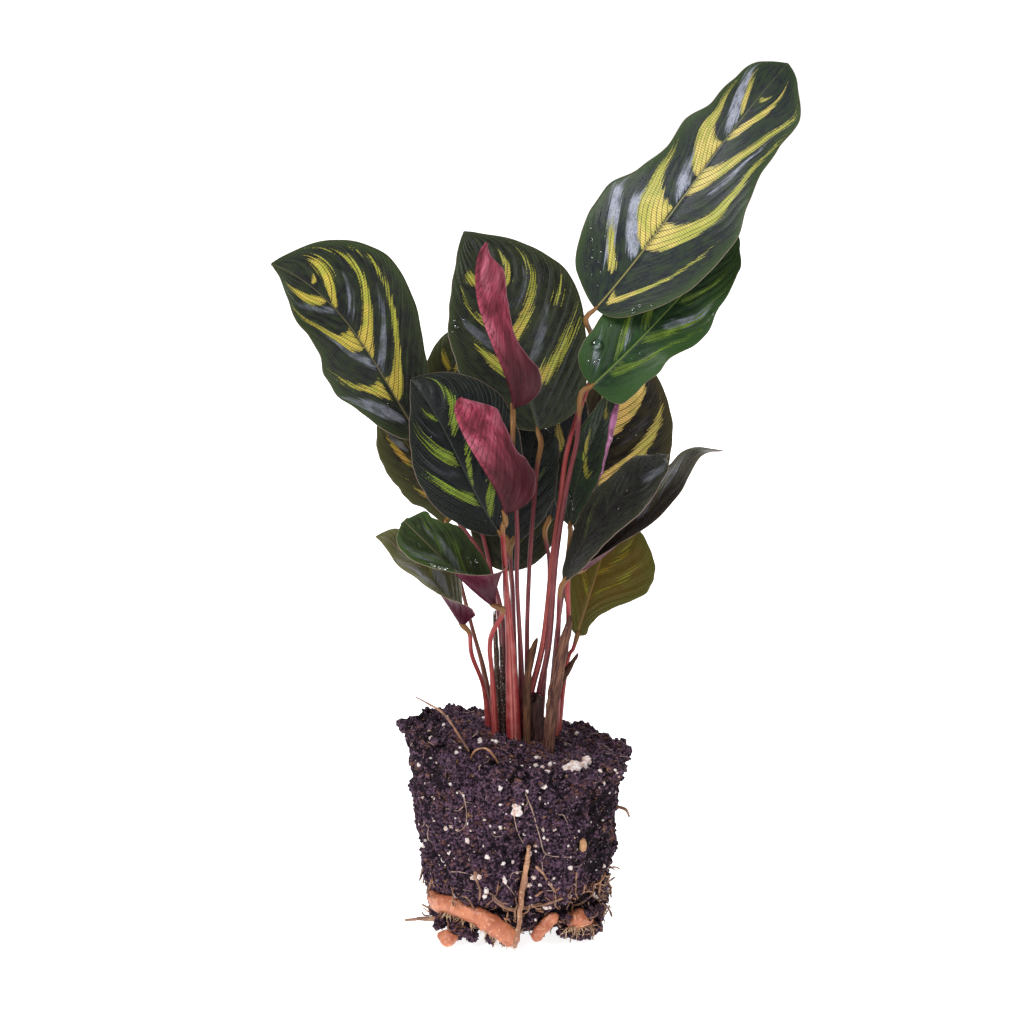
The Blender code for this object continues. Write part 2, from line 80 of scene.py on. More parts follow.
# %% Helpers for node trees
class Tree:
    """Adds nodes to a tree. A socket given as a value is linked, anything else is set."""

    def __init__(self, tree):
        self.tree = tree

    def node(self, kind, inputs=(), **settings):
        made = self.tree.nodes.new(kind)
        for name, value in settings.items():
            setattr(made, name, value)
        for key, value in dict(inputs).items():
            self.feed(made.inputs[key], value)
        return made

    def feed(self, socket, value):
        if isinstance(value, bpy.types.NodeSocket):
            self.tree.links.new(value, socket)
        elif getattr(socket, "type", "") == "RGBA" and len(value) == 3:
            socket.default_value = (*value, 1.0)
        else:
            socket.default_value = value

    def math(self, operation, *values, clamp=False):
        made = self.node("ShaderNodeMath", enumerate(values), operation=operation, use_clamp=clamp)
        return made.outputs[0]

    def mix(self, amount, first, second, blend="MIX"):
        made = self.node("ShaderNodeMix", data_type="RGBA", blend_type=blend)
        for socket, value in zip((made.inputs[0], made.inputs[6], made.inputs[7]), (amount, first, second)):
            self.feed(socket, value)
        return made.outputs[2]

    def step(self, value, low, high, start=0.0, end=1.0):
        made = self.node("ShaderNodeMapRange", enumerate((value, low, high, start, end)),
                         interpolation_type="SMOOTHSTEP")
        return made.outputs[0]

    def noise(self, vector, scale, detail=2.0, roughness=0.5):
        made = self.node("ShaderNodeTexNoise", {"Vector": vector, "Scale": scale, "Detail": detail,
                                                "Roughness": roughness})
        return made.outputs[0]

    def stretch(self, vector, scales):
        return self.node("ShaderNodeVectorMath", {0: vector, 1: scales}, operation="MULTIPLY").outputs[0]

    def parts(self, vector):
        return self.node("ShaderNodeSeparateXYZ", {0: vector}).outputs

    def attribute(self, name):
        return self.node("ShaderNodeAttribute", attribute_name=name).outputs["Vector"]


def new_finish(name, roughness=0.5, **constants):
    """A material, its tree and its Principled shader with the constants set on its own sockets."""
    finish = bpy.data.materials.new(name)
    finish.use_nodes = True
    shader = finish.node_tree.nodes["Principled BSDF"]
    shader.inputs["Roughness"].default_value = roughness
    for key, value in constants.items():
        shader.inputs[key.replace("_", " ")].default_value = value
    return finish, Tree(finish.node_tree), shader


def new_group(name, inputs, outputs):
    """A shader node group with named sockets. Returns the group, its tree, its input and its output."""
    group = bpy.data.node_groups.new(name, "ShaderNodeTree")
    for label, value in inputs.items():
        kind = "NodeSocketFloat"
        if isinstance(value, tuple):
            kind = "NodeSocketColor" if len(value) == 4 else "NodeSocketVector"
        socket = group.interface.new_socket(label, in_out="INPUT", socket_type=kind)
        socket.default_value = value
    for label, kind in outputs.items():
        group.interface.new_socket(label, in_out="OUTPUT", socket_type="NodeSocket" + kind)
    tree = Tree(group)
    return group, tree, tree.node("NodeGroupInput").outputs, tree.node("NodeGroupOutput").inputs


def use_group(tree, group, **inputs):
    made = tree.node("ShaderNodeGroup", node_tree=group)
    for name, value in inputs.items():
        tree.feed(made.inputs[name.replace("_", " ")], value)
    return made.outputs


def add_bump(tree, shader, height, distance, strength=1.0):
    bump = tree.node("ShaderNodeBump", {"Height": height, "Distance": distance, "Strength": strength})
    tree.feed(shader.inputs["Normal"], bump.outputs[0])


# %% Floor, sky and lamps
FLOOR_HALF = 12.0
LAMPS = {
    # name: place, side of the square lamp, watts (all in metres)
    "key_lamp": ((-1.1, -1.2, 1.7), 1.0, 46.0),
    "fill_lamp": ((1.5, -1.5, 0.8), 1.4, 9.0),
    "back_lamp": ((0.5, 1.7, 1.5), 1.2, 30.0),
}

floor_mesh = bpy.data.meshes.new("floor")
corners = [(x * FLOOR_HALF, y * FLOOR_HALF, 0.0) for x, y in ((-1, -1), (1, -1), (1, 1), (-1, 1))]
floor_mesh.from_pydata(corners, [], [(0, 1, 2, 3)])
floor = bpy.data.objects.new("floor", floor_mesh)
bpy.context.scene.collection.objects.link(floor)
floor_finish, tree, shader = new_finish("studio floor", 0.8)
place = tree.node("ShaderNodeTexCoord").outputs["Object"]
cloud = tree.noise(place, 3.0)
tree.feed(shader.inputs["Base Color"], tree.mix(cloud, (0.93, 0.93, 0.94), (0.96, 0.96, 0.96)))
shader.inputs["Emission Color"].default_value = (1.0, 1.0, 1.0, 1.0)
shader.inputs["Emission Strength"].default_value = 0.85
floor_mesh.materials.append(floor_finish)

for name, (spot, side, watts) in LAMPS.items():
    lamp_data = bpy.data.lights.new(name, "AREA")
    lamp_data.energy = watts
    lamp_data.size = side
    lamp = bpy.data.objects.new(name, lamp_data)
    lamp.location = spot
    lamp.rotation_euler = (Vector(TARGET) - Vector(spot)).to_track_quat("-Z", "Y").to_euler()
    bpy.context.scene.collection.objects.link(lamp)

sky = bpy.data.worlds.new("studio")
sky.use_nodes = True
bpy.context.scene.world = sky
tree = Tree(sky.node_tree)
seen = tree.node("ShaderNodeLightPath").outputs["Is Camera Ray"]
sky_light = sky.node_tree.nodes["Background"].inputs
sky_light["Color"].default_value = (1.0, 1.0, 1.0, 1.0)
tree.feed(sky_light["Strength"], tree.step(seen, 0.0, 1.0, 0.28, 1.05))
print("lamps:", ", ".join(LAMPS))

# %% [markdown]
# ## Smooth chance
# Soil, roots and withered skins are uneven at many sizes. A lattice of random values, blended from
# corner to corner, gives every piece the same kind of unevenness, and always the same one.


# %% Helpers for uneven surfaces and for meshes
def lattice_noise(points, size, seed=0):
    """Smooth values from -1 to 1 at each point, changing over about `size` millimetres."""
    at = np.asarray(points, float) / size
    cell = np.floor(at).astype(np.int64)
    part = at - cell
    part = part * part * (3 - 2 * part)
    total = np.zeros(len(at))
    for corner in range(8):
        shift = np.array([corner & 1, corner >> 1 & 1, corner >> 2 & 1])
        x, y, z = (cell + shift).T
        mixed = (x * 73856093) ^ (y * 19349663) ^ (z * 83492791) ^ (seed * 977777)
        mixed = ((mixed ^ (mixed >> 13)) * 1274126177) & 0x7FFFFFFF
        value = ((mixed ^ (mixed >> 15)) & 0xFFFF) / 32767.5 - 1
        total += np.prod(np.where(shift == 1, part, 1 - part), axis=1) * value
    return total


def rough_noise(points, size, octaves, seed=0):
    """The same with finer and finer detail on top, half as strong each time."""
    rows = [lattice_noise(points, size / 2 ** i, seed + i) / 2 ** i for i in range(octaves)]
    return np.sum(rows, axis=0)


def add_piece(name, vertices, faces, finishes, kinds=None, smooth=True):
    """A mesh object from points in millimetres, with its faces turned outwards."""
    mesh = bpy.data.meshes.new(name)
    mesh.from_pydata((np.asarray(vertices, float) * MM).tolist(), [], faces)
    for finish in finishes:
        mesh.materials.append(finish)
    if kinds is not None:
        mesh.polygons.foreach_set("material_index", kinds)
    shape = bmesh.new()
    shape.from_mesh(mesh)
    bmesh.ops.recalc_face_normals(shape, faces=shape.faces)
    shape.to_mesh(mesh)
    shape.free()
    if smooth:
        mesh.shade_smooth()
    thing = bpy.data.objects.new(name, mesh)
    bpy.context.scene.collection.objects.link(thing)
    return thing


def add_values(thing, name, rows):
    """Three numbers at each vertex, which a material can read by this name."""
    values = thing.data.attributes.new(name, "FLOAT_VECTOR", "POINT")
    values.data.foreach_set("vector", np.ascontiguousarray(rows, np.float32).ravel())


def hand_over(thing, slot, *nodes):
    """The piece rides on the plant and stands for the nodes. The slot is not used."""
    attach(thing, "root")
    if nodes:
        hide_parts(*nodes)


def triangles(thing):
    return sum(len(face.vertices) - 2 for face in thing.data.polygons)


# %% [markdown]
# ## The blades
# A blade is an oval sheet, 0.5 mm thick, that grew along a curved midrib. Each has its own table:
# points along the midrib, the way it faces, its half widths, how its halves fold and curl, and the
# ripples of its margin. The surface is computed from that rule rather than sculpted, so each
# point knows how far along and how far across the leaf it is. The pattern is drawn with those two.

# %% How each blade grew, in millimetres and degrees
WIDTH_STATIONS = (0.1, 0.3, 0.5, 0.7, 0.9)
BLADE_FOOT_HALF = 1.3
BLADE_TIP_HALF = 0.7
BEND_STEPS = 24
BLADES = {
    "right_top": dict(
        rib=((38, 6, 310), (68, 5, 348), (103, 11, 395), (131, 24, 427)),
        face=(-0.25, -0.85, 0.45), left=(24, 33, 24, 18, 14), right=(21, 35, 34, 24, 18),
        fold=((10, 4), (6, 4)), wave=((3, 1.6, 0.15), (3, 1.5, 0.55))),
    "right_second": dict(
        rib=((36, -6, 274), (61, 2, 297), (84, 12, 320), (108, 30, 343)),
        face=(0.05, -0.9, 0.42), left=(18, 22, 23, 19, 11), right=(17, 18, 21, 15, 9),
        wave=((2, 1.5, 0.2), (4, 2.0, 0.6))),
    "left_top": dict(
        rib=((-47, -4, 248), (-67, -4, 282), (-93, 0, 316), (-119, 6, 332)),
        face=(0.2, -0.85, 0.45), left=(13, 22, 23, 19, 8), right=(13, 26, 34, 35, 18),
        wave=((3, 1.5, 0.2), (3, 1.0, 0.5))),
    "centre_top": dict(
        rib=((10, 0, 251), (2, 12, 279), (-11, 26, 315), (-26, 40, 343)),
        face=(0.1, -0.8, 0.6), left=(19, 30, 30, 23, 10), right=(26, 34, 38, 33, 15),
        fold=((4, 4), (4, 4))),
    "rolled_top": dict(
        rib=((-2, -32, 268), (-10, -42, 298), (-19, -46, 326), (-16, -44, 350)),
        face=(-0.1, 0.95, 0.1), left=(18, 14, 15, 19, 15), right=(12, 14, 15, 17, 12),
        fold=((10, 20), (120, 120)), curl=((40, 40), (10, 10))),
    "rolled_low": dict(
        rib=((-6, -46, 219), (-15, -58, 243), (-26, -62, 263), (-31, -56, 278)),
        face=(-0.1, 0.95, 0.1), left=(22, 20, 21, 22, 19), right=(12, 16, 17, 17, 12),
        fold=((10, 10), (120, 120)), curl=((40, 40), (10, 10))),
    "left_centre": dict(
        rib=((-8, -30, 206), (-22, -34, 231), (-36, -30, 259), (-51, -20, 280)),
        face=(-0.1, -0.9, 0.4), left=(10, 20, 22, 17, 7), right=(17, 27, 32, 31, 17)),
    "left_back_high": dict(
        rib=((-25, 44, 222), (-29, 50, 247), (-32, 58, 271), (-34, 66, 289)),
        face=(0.0, -0.8, 0.6), left=(7, 13, 15, 13, 7), right=(10, 15, 16, 14, 8)),
    "left_back_low": dict(
        rib=((-35, 26, 199), (-44, 32, 220), (-56, 38, 239), (-65, 44, 254)),
        face=(-0.1, -0.8, 0.5), left=(7, 13, 16, 15, 9), right=(8, 13, 15, 15, 9)),
    "low_left_upper": dict(
        rib=((-11, -36, 172), (-25, -48, 187), (-40, -56, 204), (-54, -56, 218)),
        face=(0.0, -0.5, 0.85), left=(17, 17, 15, 18, 15), right=(23, 28, 27, 20, 10),
        fold=((150, 10), (20, 0))),
    "low_left_lower": dict(
        rib=((-26, -20, 158), (-36, -30, 176), (-52, -36, 196), (-68, -34, 205)),
        face=(0.0, -0.5, 0.85), left=(8, 16, 16, 13, 6), right=(16, 24, 23, 18, 9),
        fold=((100, 10), (10, 0))),
    "centre_low": dict(
        rib=((-3, 34, 173), (-3, 42, 192), (-1, 50, 214), (1, 58, 232)),
        face=(0.0, -0.9, 0.4), left=(13, 20, 21, 16, 8), right=(16, 22, 22, 18, 9)),
    "centre_mid": dict(
        rib=((-2, 6, 195), (2, 4, 216), (6, 6, 235), (11, 10, 252)),
        face=(0.0, -0.9, 0.3), left=(8, 13, 14, 13, 8), right=(8, 14, 16, 14, 8)),
    "right_back": dict(
        rib=((37, 48, 185), (42, 56, 220), (49, 64, 249), (60, 74, 278)),
        face=(0.0, -0.85, 0.4), left=(11, 18, 20, 16, 9), right=(13, 27, 33, 29, 15)),
    "right_narrow": dict(
        rib=((26, 4, 203), (29, 2, 224), (37, 4, 246), (46, 12, 268)),
        face=(-0.5, -0.7, 0.3), left=(9, 15, 14, 9, 5), right=(6, 11, 12, 9, 6)),
    "right_dark": dict(
        rib=((23, -22, 181), (36, -32, 208), (54, -38, 231), (70, -30, 245)),
        face=(-0.6, -0.55, 0.65), left=(7, 15, 18, 15, 13), right=(7, 13, 16, 18, 11)),
    "right_far": dict(
        rib=((31, -12, 184), (55, -16, 205), (77, -16, 228), (100, -8, 242)),
        face=(-0.72, -0.3, 0.68), left=(10, 18, 20, 16, 8), right=(14, 22, 24, 18, 8),
        fold=((40, 10), (40, 10))),
    "low_right": dict(
        rib=((30, 14, 145), (37, 22, 166), (43, 32, 183), (49, 44, 200)),
        face=(0.1, -0.85, 0.5), left=(7, 13, 15, 14, 9), right=(5, 14, 26, 26, 16)),
    "centre_back": dict(
        rib=((16, 36, 199), (22, 38, 224), (27, 40, 249), (31, 44, 263)),
        face=(0.0, -0.9, 0.3), left=(6, 11, 12, 11, 6), right=(7, 12, 13, 11, 6)),
}


for name, leaf in BLADES.items():
    leaf["name"] = name

# Waves of the outline: millimetres beyond the smooth half width at ten places along the left and the
# right half.
WAVE_STATIONS = np.arange(10) * 0.1 + 0.05
NO_WAVES = (0.0,) * 10
MARGIN_WAVES = {
    "right_top": ((3.4, 0.0, 0.3, 3.0, 0.4, -0.3, 3.5, -1.1, 0.3, 2.7),
                  (0.0, 0.0, 0.0, 0.5, 2.0, 0.0, -0.3, 2.4, 5.0, -0.9)),
    "right_second": (NO_WAVES, (0.0, 0.5, 1.2, -1.4, -0.1, 1.3, 0.7, 3.3, 3.0, -1.3)),
    "left_top": ((0.0, -0.8, -1.4, 1.6, 1.4, -1.6, -0.1, 2.1, 1.4, -0.4),
                 (0.0, 0.0, 0.0, 0.0, 0.5, 1.1, 2.0, 1.8, 1.5, -0.3)),
    "centre_top": ((0.0, 0.0, 0.0, 0.0, 0.0, 1.2, 0.8, 0.0, 0.1, 0.3),
                   (0.0, 0.0, 0.0, 0.0, 0.0, 1.5, 2.5, 2.2, 1.7, -0.6)),
    "right_back": (NO_WAVES, (0.0, 0.0, 0.0, 0.0, 0.2, 0.0, 0.2, 1.1, 1.8, 1.0)),
    "low_right": (NO_WAVES, (-0.4, 0.4, 0.6, 1.5, 1.8, 0.8, 0.4, 0.6, 0.6, 1.0)),
    "left_back_low": ((-1.5, -1.3, 0.8, 0.5, -0.3, -0.1, 0.2, 0.1, -0.2, 0.0), NO_WAVES),
    "left_back_high": ((0.0, 0.0, 0.0, 0.0, 0.0, 0.0, 0.5, 1.5, 1.8, 0.8), NO_WAVES),
    "rolled_low": ((-1.5, 1.5, 1.5, -0.8, -0.5, 0.0, 0.4, 0.5, 0.0, -1.0), NO_WAVES),
    "rolled_top": ((1.0, 1.5, -0.5, -1.0, -0.4, 0.3, 0.5, 1.2, 1.6, -4.0), NO_WAVES),
    "low_left_upper": ((4.0, -1.0, -1.5, 0.0, 0.0, 0.0, 0.0, 0.0, 1.0, 2.5),
                       (0.0, 0.0, 0.0, 0.0, 0.0, 0.5, 0.0, -0.5, 1.5, 6.0)),
    "low_left_lower": ((3.0, -0.5, -1.0, 0.0, 0.8, 0.0, -0.8, 0.8, 0.0, 0.0), NO_WAVES),
    "right_far": ((0.0, 0.0, 0.0, 0.0, 0.0, -1.0, -1.5, -2.0, -1.0, 0.0),
                  (0.0, 0.0, 0.5, 0.0, -1.0, 1.0, 0.5, -3.0, -3.0, -0.5)),
    "right_dark": ((0.0, 0.0, 0.0, 0.0, 0.0, 0.0, 0.0, 0.0, 1.0, 2.0),
                   (0.0, 0.0, 0.0, 0.4, -0.4, 0.0, 0.6, 0.6, 0.0, 2.0)),
    "centre_mid": ((0.0, 0.0, 0.0, 0.0, 0.0, 0.0, 0.0, 1.0, 3.5, 5.0),
                   (0.0, 0.0, 0.0, 0.0, 0.0, 0.0, 0.0, 1.0, 3.0, 4.5)),
}
# The midrib of a young leaf turns aside at the tip: where it starts, how far in millimetres.
TIP_TURNS = {"rolled_low": (0.86, (3.5, 1.0, -1.0)), "rolled_top": (0.90, (1.5, 0.5, -0.5))}
# Half width at a tip that is blunt.
TIP_HALVES = {"rolled_low": 5.0, "rolled_top": 3.2, "right_dark": 4.0, "low_left_upper": 3.0}
# A blade that bends aside in its plane: from, to, and how far in the middle of that stretch.
SWAYS = {
    "right_far": ((0.68, 1.04, (-1.5, 0.0, 4.6)), (0.30, 0.74, (0.0, 0.0, -2.2))),
    "low_left_lower": ((0.80, 1.05, (0.0, 0.0, 1.6)),),
}


# %% The sheet that a table describes
def ease(x):
    x = np.clip(x, 0, 1)
    return x * x * (3 - 2 * x)


def unit(rows):
    return rows / np.linalg.norm(rows, axis=-1, keepdims=True)


def stations(points):
    """Where each point lies along the chain of straight lines through them, from 0 to 1."""
    steps = np.linalg.norm(np.diff(np.asarray(points, float), axis=0), axis=1)
    along = np.concatenate([[0.0], np.cumsum(steps)])
    return along / along[-1]


def midrib(points, t):
    """A smooth curve through the points, and its direction, at each t."""
    points = np.asarray(points, float)
    place = np.zeros((len(t), 3))
    direction = np.zeros((len(t), 3))
    for axis in range(3):
        rule = np.polyfit(stations(points), points[:, axis], len(points) - 1)
        place[:, axis] = np.polyval(rule, t)
        direction[:, axis] = np.polyval(np.polyder(rule), t)
    return place, unit(direction)


def half_width(widths, t):
    """Round at the stalk and pointed at the tip, with the given half widths in between."""
    def ends(at):
        return at ** 0.5 * (1 - at) ** 0.8
    known = np.array(WIDTH_STATIONS)
    rule = np.polyfit(known, np.array(widths) / ends(known), 4)
    return np.polyval(rule, t) * ends(t)


def outline(leaf, side, t):
    """Half width of the finer blade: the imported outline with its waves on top."""
    least = np.where(t < 0.5, BLADE_FOOT_HALF, TIP_HALVES.get(leaf["name"], BLADE_TIP_HALF))
    waves = MARGIN_WAVES.get(leaf["name"], (NO_WAVES, NO_WAVES))[side]
    spot = np.clip(t, WAVE_STATIONS[0], WAVE_STATIONS[-1] - 1e-6)
    span = ((spot - WAVE_STATIONS[0]) / 0.1).astype(int)
    part = ease((spot - WAVE_STATIONS[span]) / 0.1)
    wave = np.array(waves)[span] * (1 - part) + np.array(waves)[span + 1] * part
    wave = wave + 0.22 * np.sin(2 * pi * (4.3 * t + 0.3 * side)) + 0.16 * np.sin(2 * pi * (9.1 * t + side))
    wave = wave * np.minimum(1, np.minimum(t, 1 - t) / 0.05)
    return np.maximum(half_width(leaf["right" if side else "left"], t) + wave, least)


def blade_surface(leaf, t, v):
    """Points of the middle surface, a row for each t, and a column for each v from -1 to 1."""
    rib, along = midrib(leaf["rib"], t)
    face = np.array(leaf["face"], float)
    up = unit(face - (along @ face)[:, None] * along)
    across = np.cross(along, up)
    steps = (np.arange(BEND_STEPS) + 0.5) / BEND_STEPS
    grid = np.zeros((len(t), len(v), 3))
    for column, part in enumerate(v):
        side = 0 if part < 0 else 1
        widths = leaf["left"] if side == 0 else leaf["right"]
        fold = leaf.get("fold", ((0, 0), (0, 0)))[side]
        curl = leaf.get("curl", ((0, 0), (0, 0)))[side]
        height, count, start = leaf.get("wave", ((0, 1, 0), (0, 1, 0)))[side]
        reach = abs(part) * outline(leaf, side, t)
        near_stalk = (1 - t) ** 2
        fold_here = np.radians(fold[1] + (fold[0] - fold[1]) * near_stalk)
        bend_here = np.radians(curl[1] + (curl[0] - curl[1]) * near_stalk) * reach / max(widths)
        angles = fold_here[:, None] + bend_here[:, None] * steps
        ripple = height * part ** 2 * np.sin(2 * pi * (count * t + start))
        ripple = ripple * np.sin(pi * np.clip(t, 0, 1)) ** 0.5
        out = np.cos(angles).mean(1) * reach - ripple * np.sin(fold_here + bend_here)
        rise = np.sin(angles).mean(1) * reach + ripple * np.cos(fold_here + bend_here)
        sign = -1 if side == 0 else 1
        grid[:, column] = rib + sign * across * out[:, None] + up * rise[:, None]
    return grid


def grid_normals(grid):
    """They point out of the upper side."""
    along = np.gradient(grid, axis=0)
    across = np.gradient(grid, axis=1)
    return unit(np.cross(across, along))


# %% [markdown]
# ## The peacock pattern
# Between its side veins a calathea leaf keeps pale, brush-like stripes on a dark ground. A stripe
# starts at the midrib and sweeps towards the tip. Each row below is one stripe: the share of the
# half width where it starts with its two edges along the leaf, the same at its middle, and the place
# where it ends. From the rows each vertex gets its distance to the nearest stripe edge, and the
# material turns that distance into a sharp edge that frays along the fine cross veins.

# %% Stripes of each leaf: left half, right half
STRIPES = {
    "right_top": (
        ((.20, .12, .15, .40, .15, .20, .62, .24), (.04, .24, .41, .45, .345, .45, .82, .54),
         (.03, .53, .67, .45, .60, .70, .80, .79), (.10, .77, .80, .35, .82, .86, .60, .90)),
        ((.10, .06, .085, .50, .11, .16, .75, .34), (.03, .25, .36, .45, .36, .46, .90, .73),
         (.03, .46, .57, .40, .60, .67, .85, .85), (.05, .68, .73, .25, .75, .82, .45, .90),
         (.07, .84, .86, .13, .845, .86, .20, .87))),
    "right_second": (
        ((.10, .15, .20, .30, .22, .30, .60, .40), (.10, .35, .40, .35, .42, .50, .70, .60)),
        ((.10, .10, .18, .40, .16, .24, .75, .45), (.10, .30, .37, .35, .36, .45, .70, .60),
         (.10, .55, .60, .30, .60, .66, .60, .80))),
    "left_top": (
        ((.15, .21, .31, .45, .27, .32, .80, .41), (.06, .45, .56, .40, .51, .58, .82, .74),
         (.03, .71, .74, .35, .745, .82, .62, .87)),
        ((.03, .19, .30, .40, .29, .38, .80, .68), (.02, .40, .52, .35, .54, .61, .74, .81),
         (.03, .66, .70, .27, .74, .82, .55, .87), (.07, .80, .815, .12, .80, .82, .20, .83))),
    "centre_top": (
        ((.33, .545, .57, .50, .57, .61, .68, .70), (.30, .72, .77, .42, .74, .80, .55, .78),
         (.10, .25, .33, .35, .30, .38, .60, .45)),
        ((.08, .19, .25, .40, .225, .305, .85, .43), (.03, .41, .49, .30, .51, .57, .70, .77),
         (.20, .68, .71, .33, .72, .78, .45, .83), (.70, .55, .57, .75, .56, .58, .80, .59))),
    "right_back": (
        ((.10, .28, .34, .30, .33, .45, .50, .60), (.08, .57, .64, .25, .62, .70, .60, .78),
         (.70, .57, .62, .85, .60, .67, 1.0, .70)),
        ((.00, .20, .34, .30, .28, .44, .82, .74), (.03, .53, .76, .25, .62, .84, .55, .92),
         (.20, .08, .14, .50, .12, .20, .80, .35))),
    "left_centre": (
        ((.10, .20, .29, .35, .26, .35, .68, .43), (.08, .45, .53, .35, .53, .61, .68, .71),
         (.08, .72, .76, .20, .74, .79, .35, .81)),
        ((.05, .11, .17, .20, .15, .26, .38, .30), (.02, .30, .38, .10, .38, .48, .20, .52),
         (.10, .60, .68, .30, .70, .78, .50, .86))),
    "right_narrow": (
        ((.00, .44, .56, .20, .55, .65, .42, .74), (.00, .86, .94, .10, .90, .96, .20, .98)),
        ((.00, .46, .55, .30, .38, .44, .50, .40), (.00, .85, .93, .25, .80, .86, .45, .82))),
    "right_dark": (
        ((.10, .30, .34, .35, .36, .40, .60, .50),),
        ((.10, .62, .65, .20, .68, .72, .35, .80),)),
    "left_back_high": (
        ((.10, .72, .78, .25, .73, .84, .45, .86), (.10, .40, .47, .30, .45, .55, .50, .60)),
        ((.10, .45, .50, .30, .48, .58, .50, .62), (.10, .70, .75, .25, .74, .80, .45, .86))),
    "left_back_low": (
        ((.30, .24, .30, .45, .26, .34, .60, .40), (.20, .50, .58, .40, .60, .78, .55, .85)),
        ((.20, .02, .10, .50, .03, .12, .90, .12), (.10, .50, .58, .30, .56, .66, .60, .76))),
    "centre_low": (
        ((.10, .35, .40, .30, .40, .48, .55, .60),),
        ((.30, .28, .34, .45, .40, .45, .70, .56), (.10, .60, .66, .30, .66, .72, .50, .82))),
    "centre_mid": (
        ((.10, .30, .36, .30, .36, .44, .55, .55),),
        ((.10, .40, .46, .30, .46, .54, .55, .65),)),
    "centre_back": (
        ((.05, .50, .60, .25, .52, .66, .60, .70),),
        ((.20, .72, .80, .40, .78, .90, .70, .93),)),
    "low_left_upper": (
        ((.10, .50, .56, .30, .55, .62, .60, .72),),
        ((.10, .35, .40, .35, .42, .48, .60, .60), (.10, .62, .66, .30, .68, .74, .50, .84))),
    "low_left_lower": (
        ((.10, .30, .36, .30, .38, .44, .60, .55),),
        ((.10, .50, .56, .30, .56, .62, .60, .75),)),
    "right_far": (
        ((.10, .50, .56, .30, .56, .62, .60, .75),),
        ((.10, .55, .60, .30, .60, .68, .50, .80),)),
    "low_right": (
        ((.10, .30, .36, .30, .38, .44, .60, .55),),
        ((.10, .30, .34, .30, .40, .44, .55, .56), (.05, .48, .54, .20, .56, .62, .45, .74))),
}
# Painted highlights: pale blue-grey gloss bands painted along some side veins, in rows of the same kind.
PAINTED_GLOSS = {
    "right_top": (
        ((.05, .18, .24, .35, .24, .36, .62, .38), (.40, .12, .20, .65, .22, .31, .95, .37),
         (.02, .42, .50, .20, .46, .54, .45, .58), (.02, .68, .74, .30, .73, .82, .90, .93)),
        ((.30, .50, .52, .55, .60, .64, .75, .74),)),
    "left_top": (
        ((.10, .10, .14, .50, .12, .24, .95, .30), (.05, .34, .42, .30, .43, .50, .60, .60),
         (.03, .63, .68, .40, .70, .75, .70, .80)),
        ((.05, .32, .38, .30, .41, .47, .60, .58), (.10, .58, .62, .25, .63, .68, .45, .74))),
    "centre_top": (
        ((.20, .40, .46, .50, .46, .54, .75, .60),),
        ((.10, .28, .32, .30, .34, .42, .60, .56), (.10, .57, .60, .30, .60, .64, .55, .74))),
    "right_second": (
        ((.30, .06, .10, .50, .08, .14, .80, .20), (.10, .22, .28, .30, .26, .32, .50, .36)),
        ((.20, .42, .48, .50, .46, .56, .80, .66),)),
    "left_centre": (
        ((.20, .40, .44, .50, .45, .50, .75, .60), (.10, .62, .66, .30, .66, .70, .60, .80)), ()),
    "low_left_upper": (
        ((.20, .60, .70, .50, .62, .80, .85, .90),),
        ((.05, .35, .50, .25, .45, .75, .50, .85),)),
    "low_left_lower": (
        ((.10, .35, .50, .40, .40, .65, .80, .80),),
        ((.05, .25, .45, .30, .35, .65, .60, .80),)),
    "right_dark": ((), ((.10, .80, .86, .50, .82, .93, .90, .96),)),
    "right_far": (
        ((.10, .40, .60, .40, .50, .75, .80, .80),),
        ((.10, .50, .62, .40, .60, .72, .80, .80),)),
    "right_back": ((), ((.20, .48, .52, .35, .54, .60, .60, .70),)),
    "left_back_low": (((.05, .60, .70, .25, .66, .80, .50, .85),), ()),
}


# %% Distance to the nearest stripe edge
def band_field(rows, t, part, length, reach):
    """Millimetres inside (above zero) or outside (below zero) of the nearest band."""
    field = np.full(t.shape, -9.0)
    for start, low_0, high_0, middle, low_1, high_1, end, last in rows:
        places = (start, middle, end)
        blunt = 0.30 * (high_1 - low_1)
        low = np.polyval(np.polyfit(places, (low_0, low_1, last - blunt), 2), part)
        high = np.polyval(np.polyfit(places, (high_0, high_1, last + blunt), 2), part)
        inside = np.minimum((t - low) * length, (high - t) * length)
        inside = np.minimum(inside, (part - start) * reach + 0.6)
        field = np.maximum(field, np.minimum(inside, (end - part) * reach))
    return field


# %% [markdown]
# ## A blade as a mesh
# The upper skin is quilted: it rises between the side veins and dips at the midrib, which stands
# out below as a ridge. Both skins come from the same sheet and are joined round the margin, so the
# leaf is a closed solid that is thinner at its edge. Three numbers are kept at each vertex for its
# place (along, across and the coordinate of its side vein) and three for its marks.

# %% Build one blade
ROW_GAP = 1.15
COLUMN_GAP = 1.15
VEIN_SWEEP = 0.42
QUILT_GAP = 8.5
QUILT_HEIGHT = 0.34
BLADE_HALF_THICKNESS = 0.25


def rib_length(name):
    points = np.array(BLADES[name]["rib"], float)
    return np.linalg.norm(np.diff(points, axis=0), axis=1).sum()


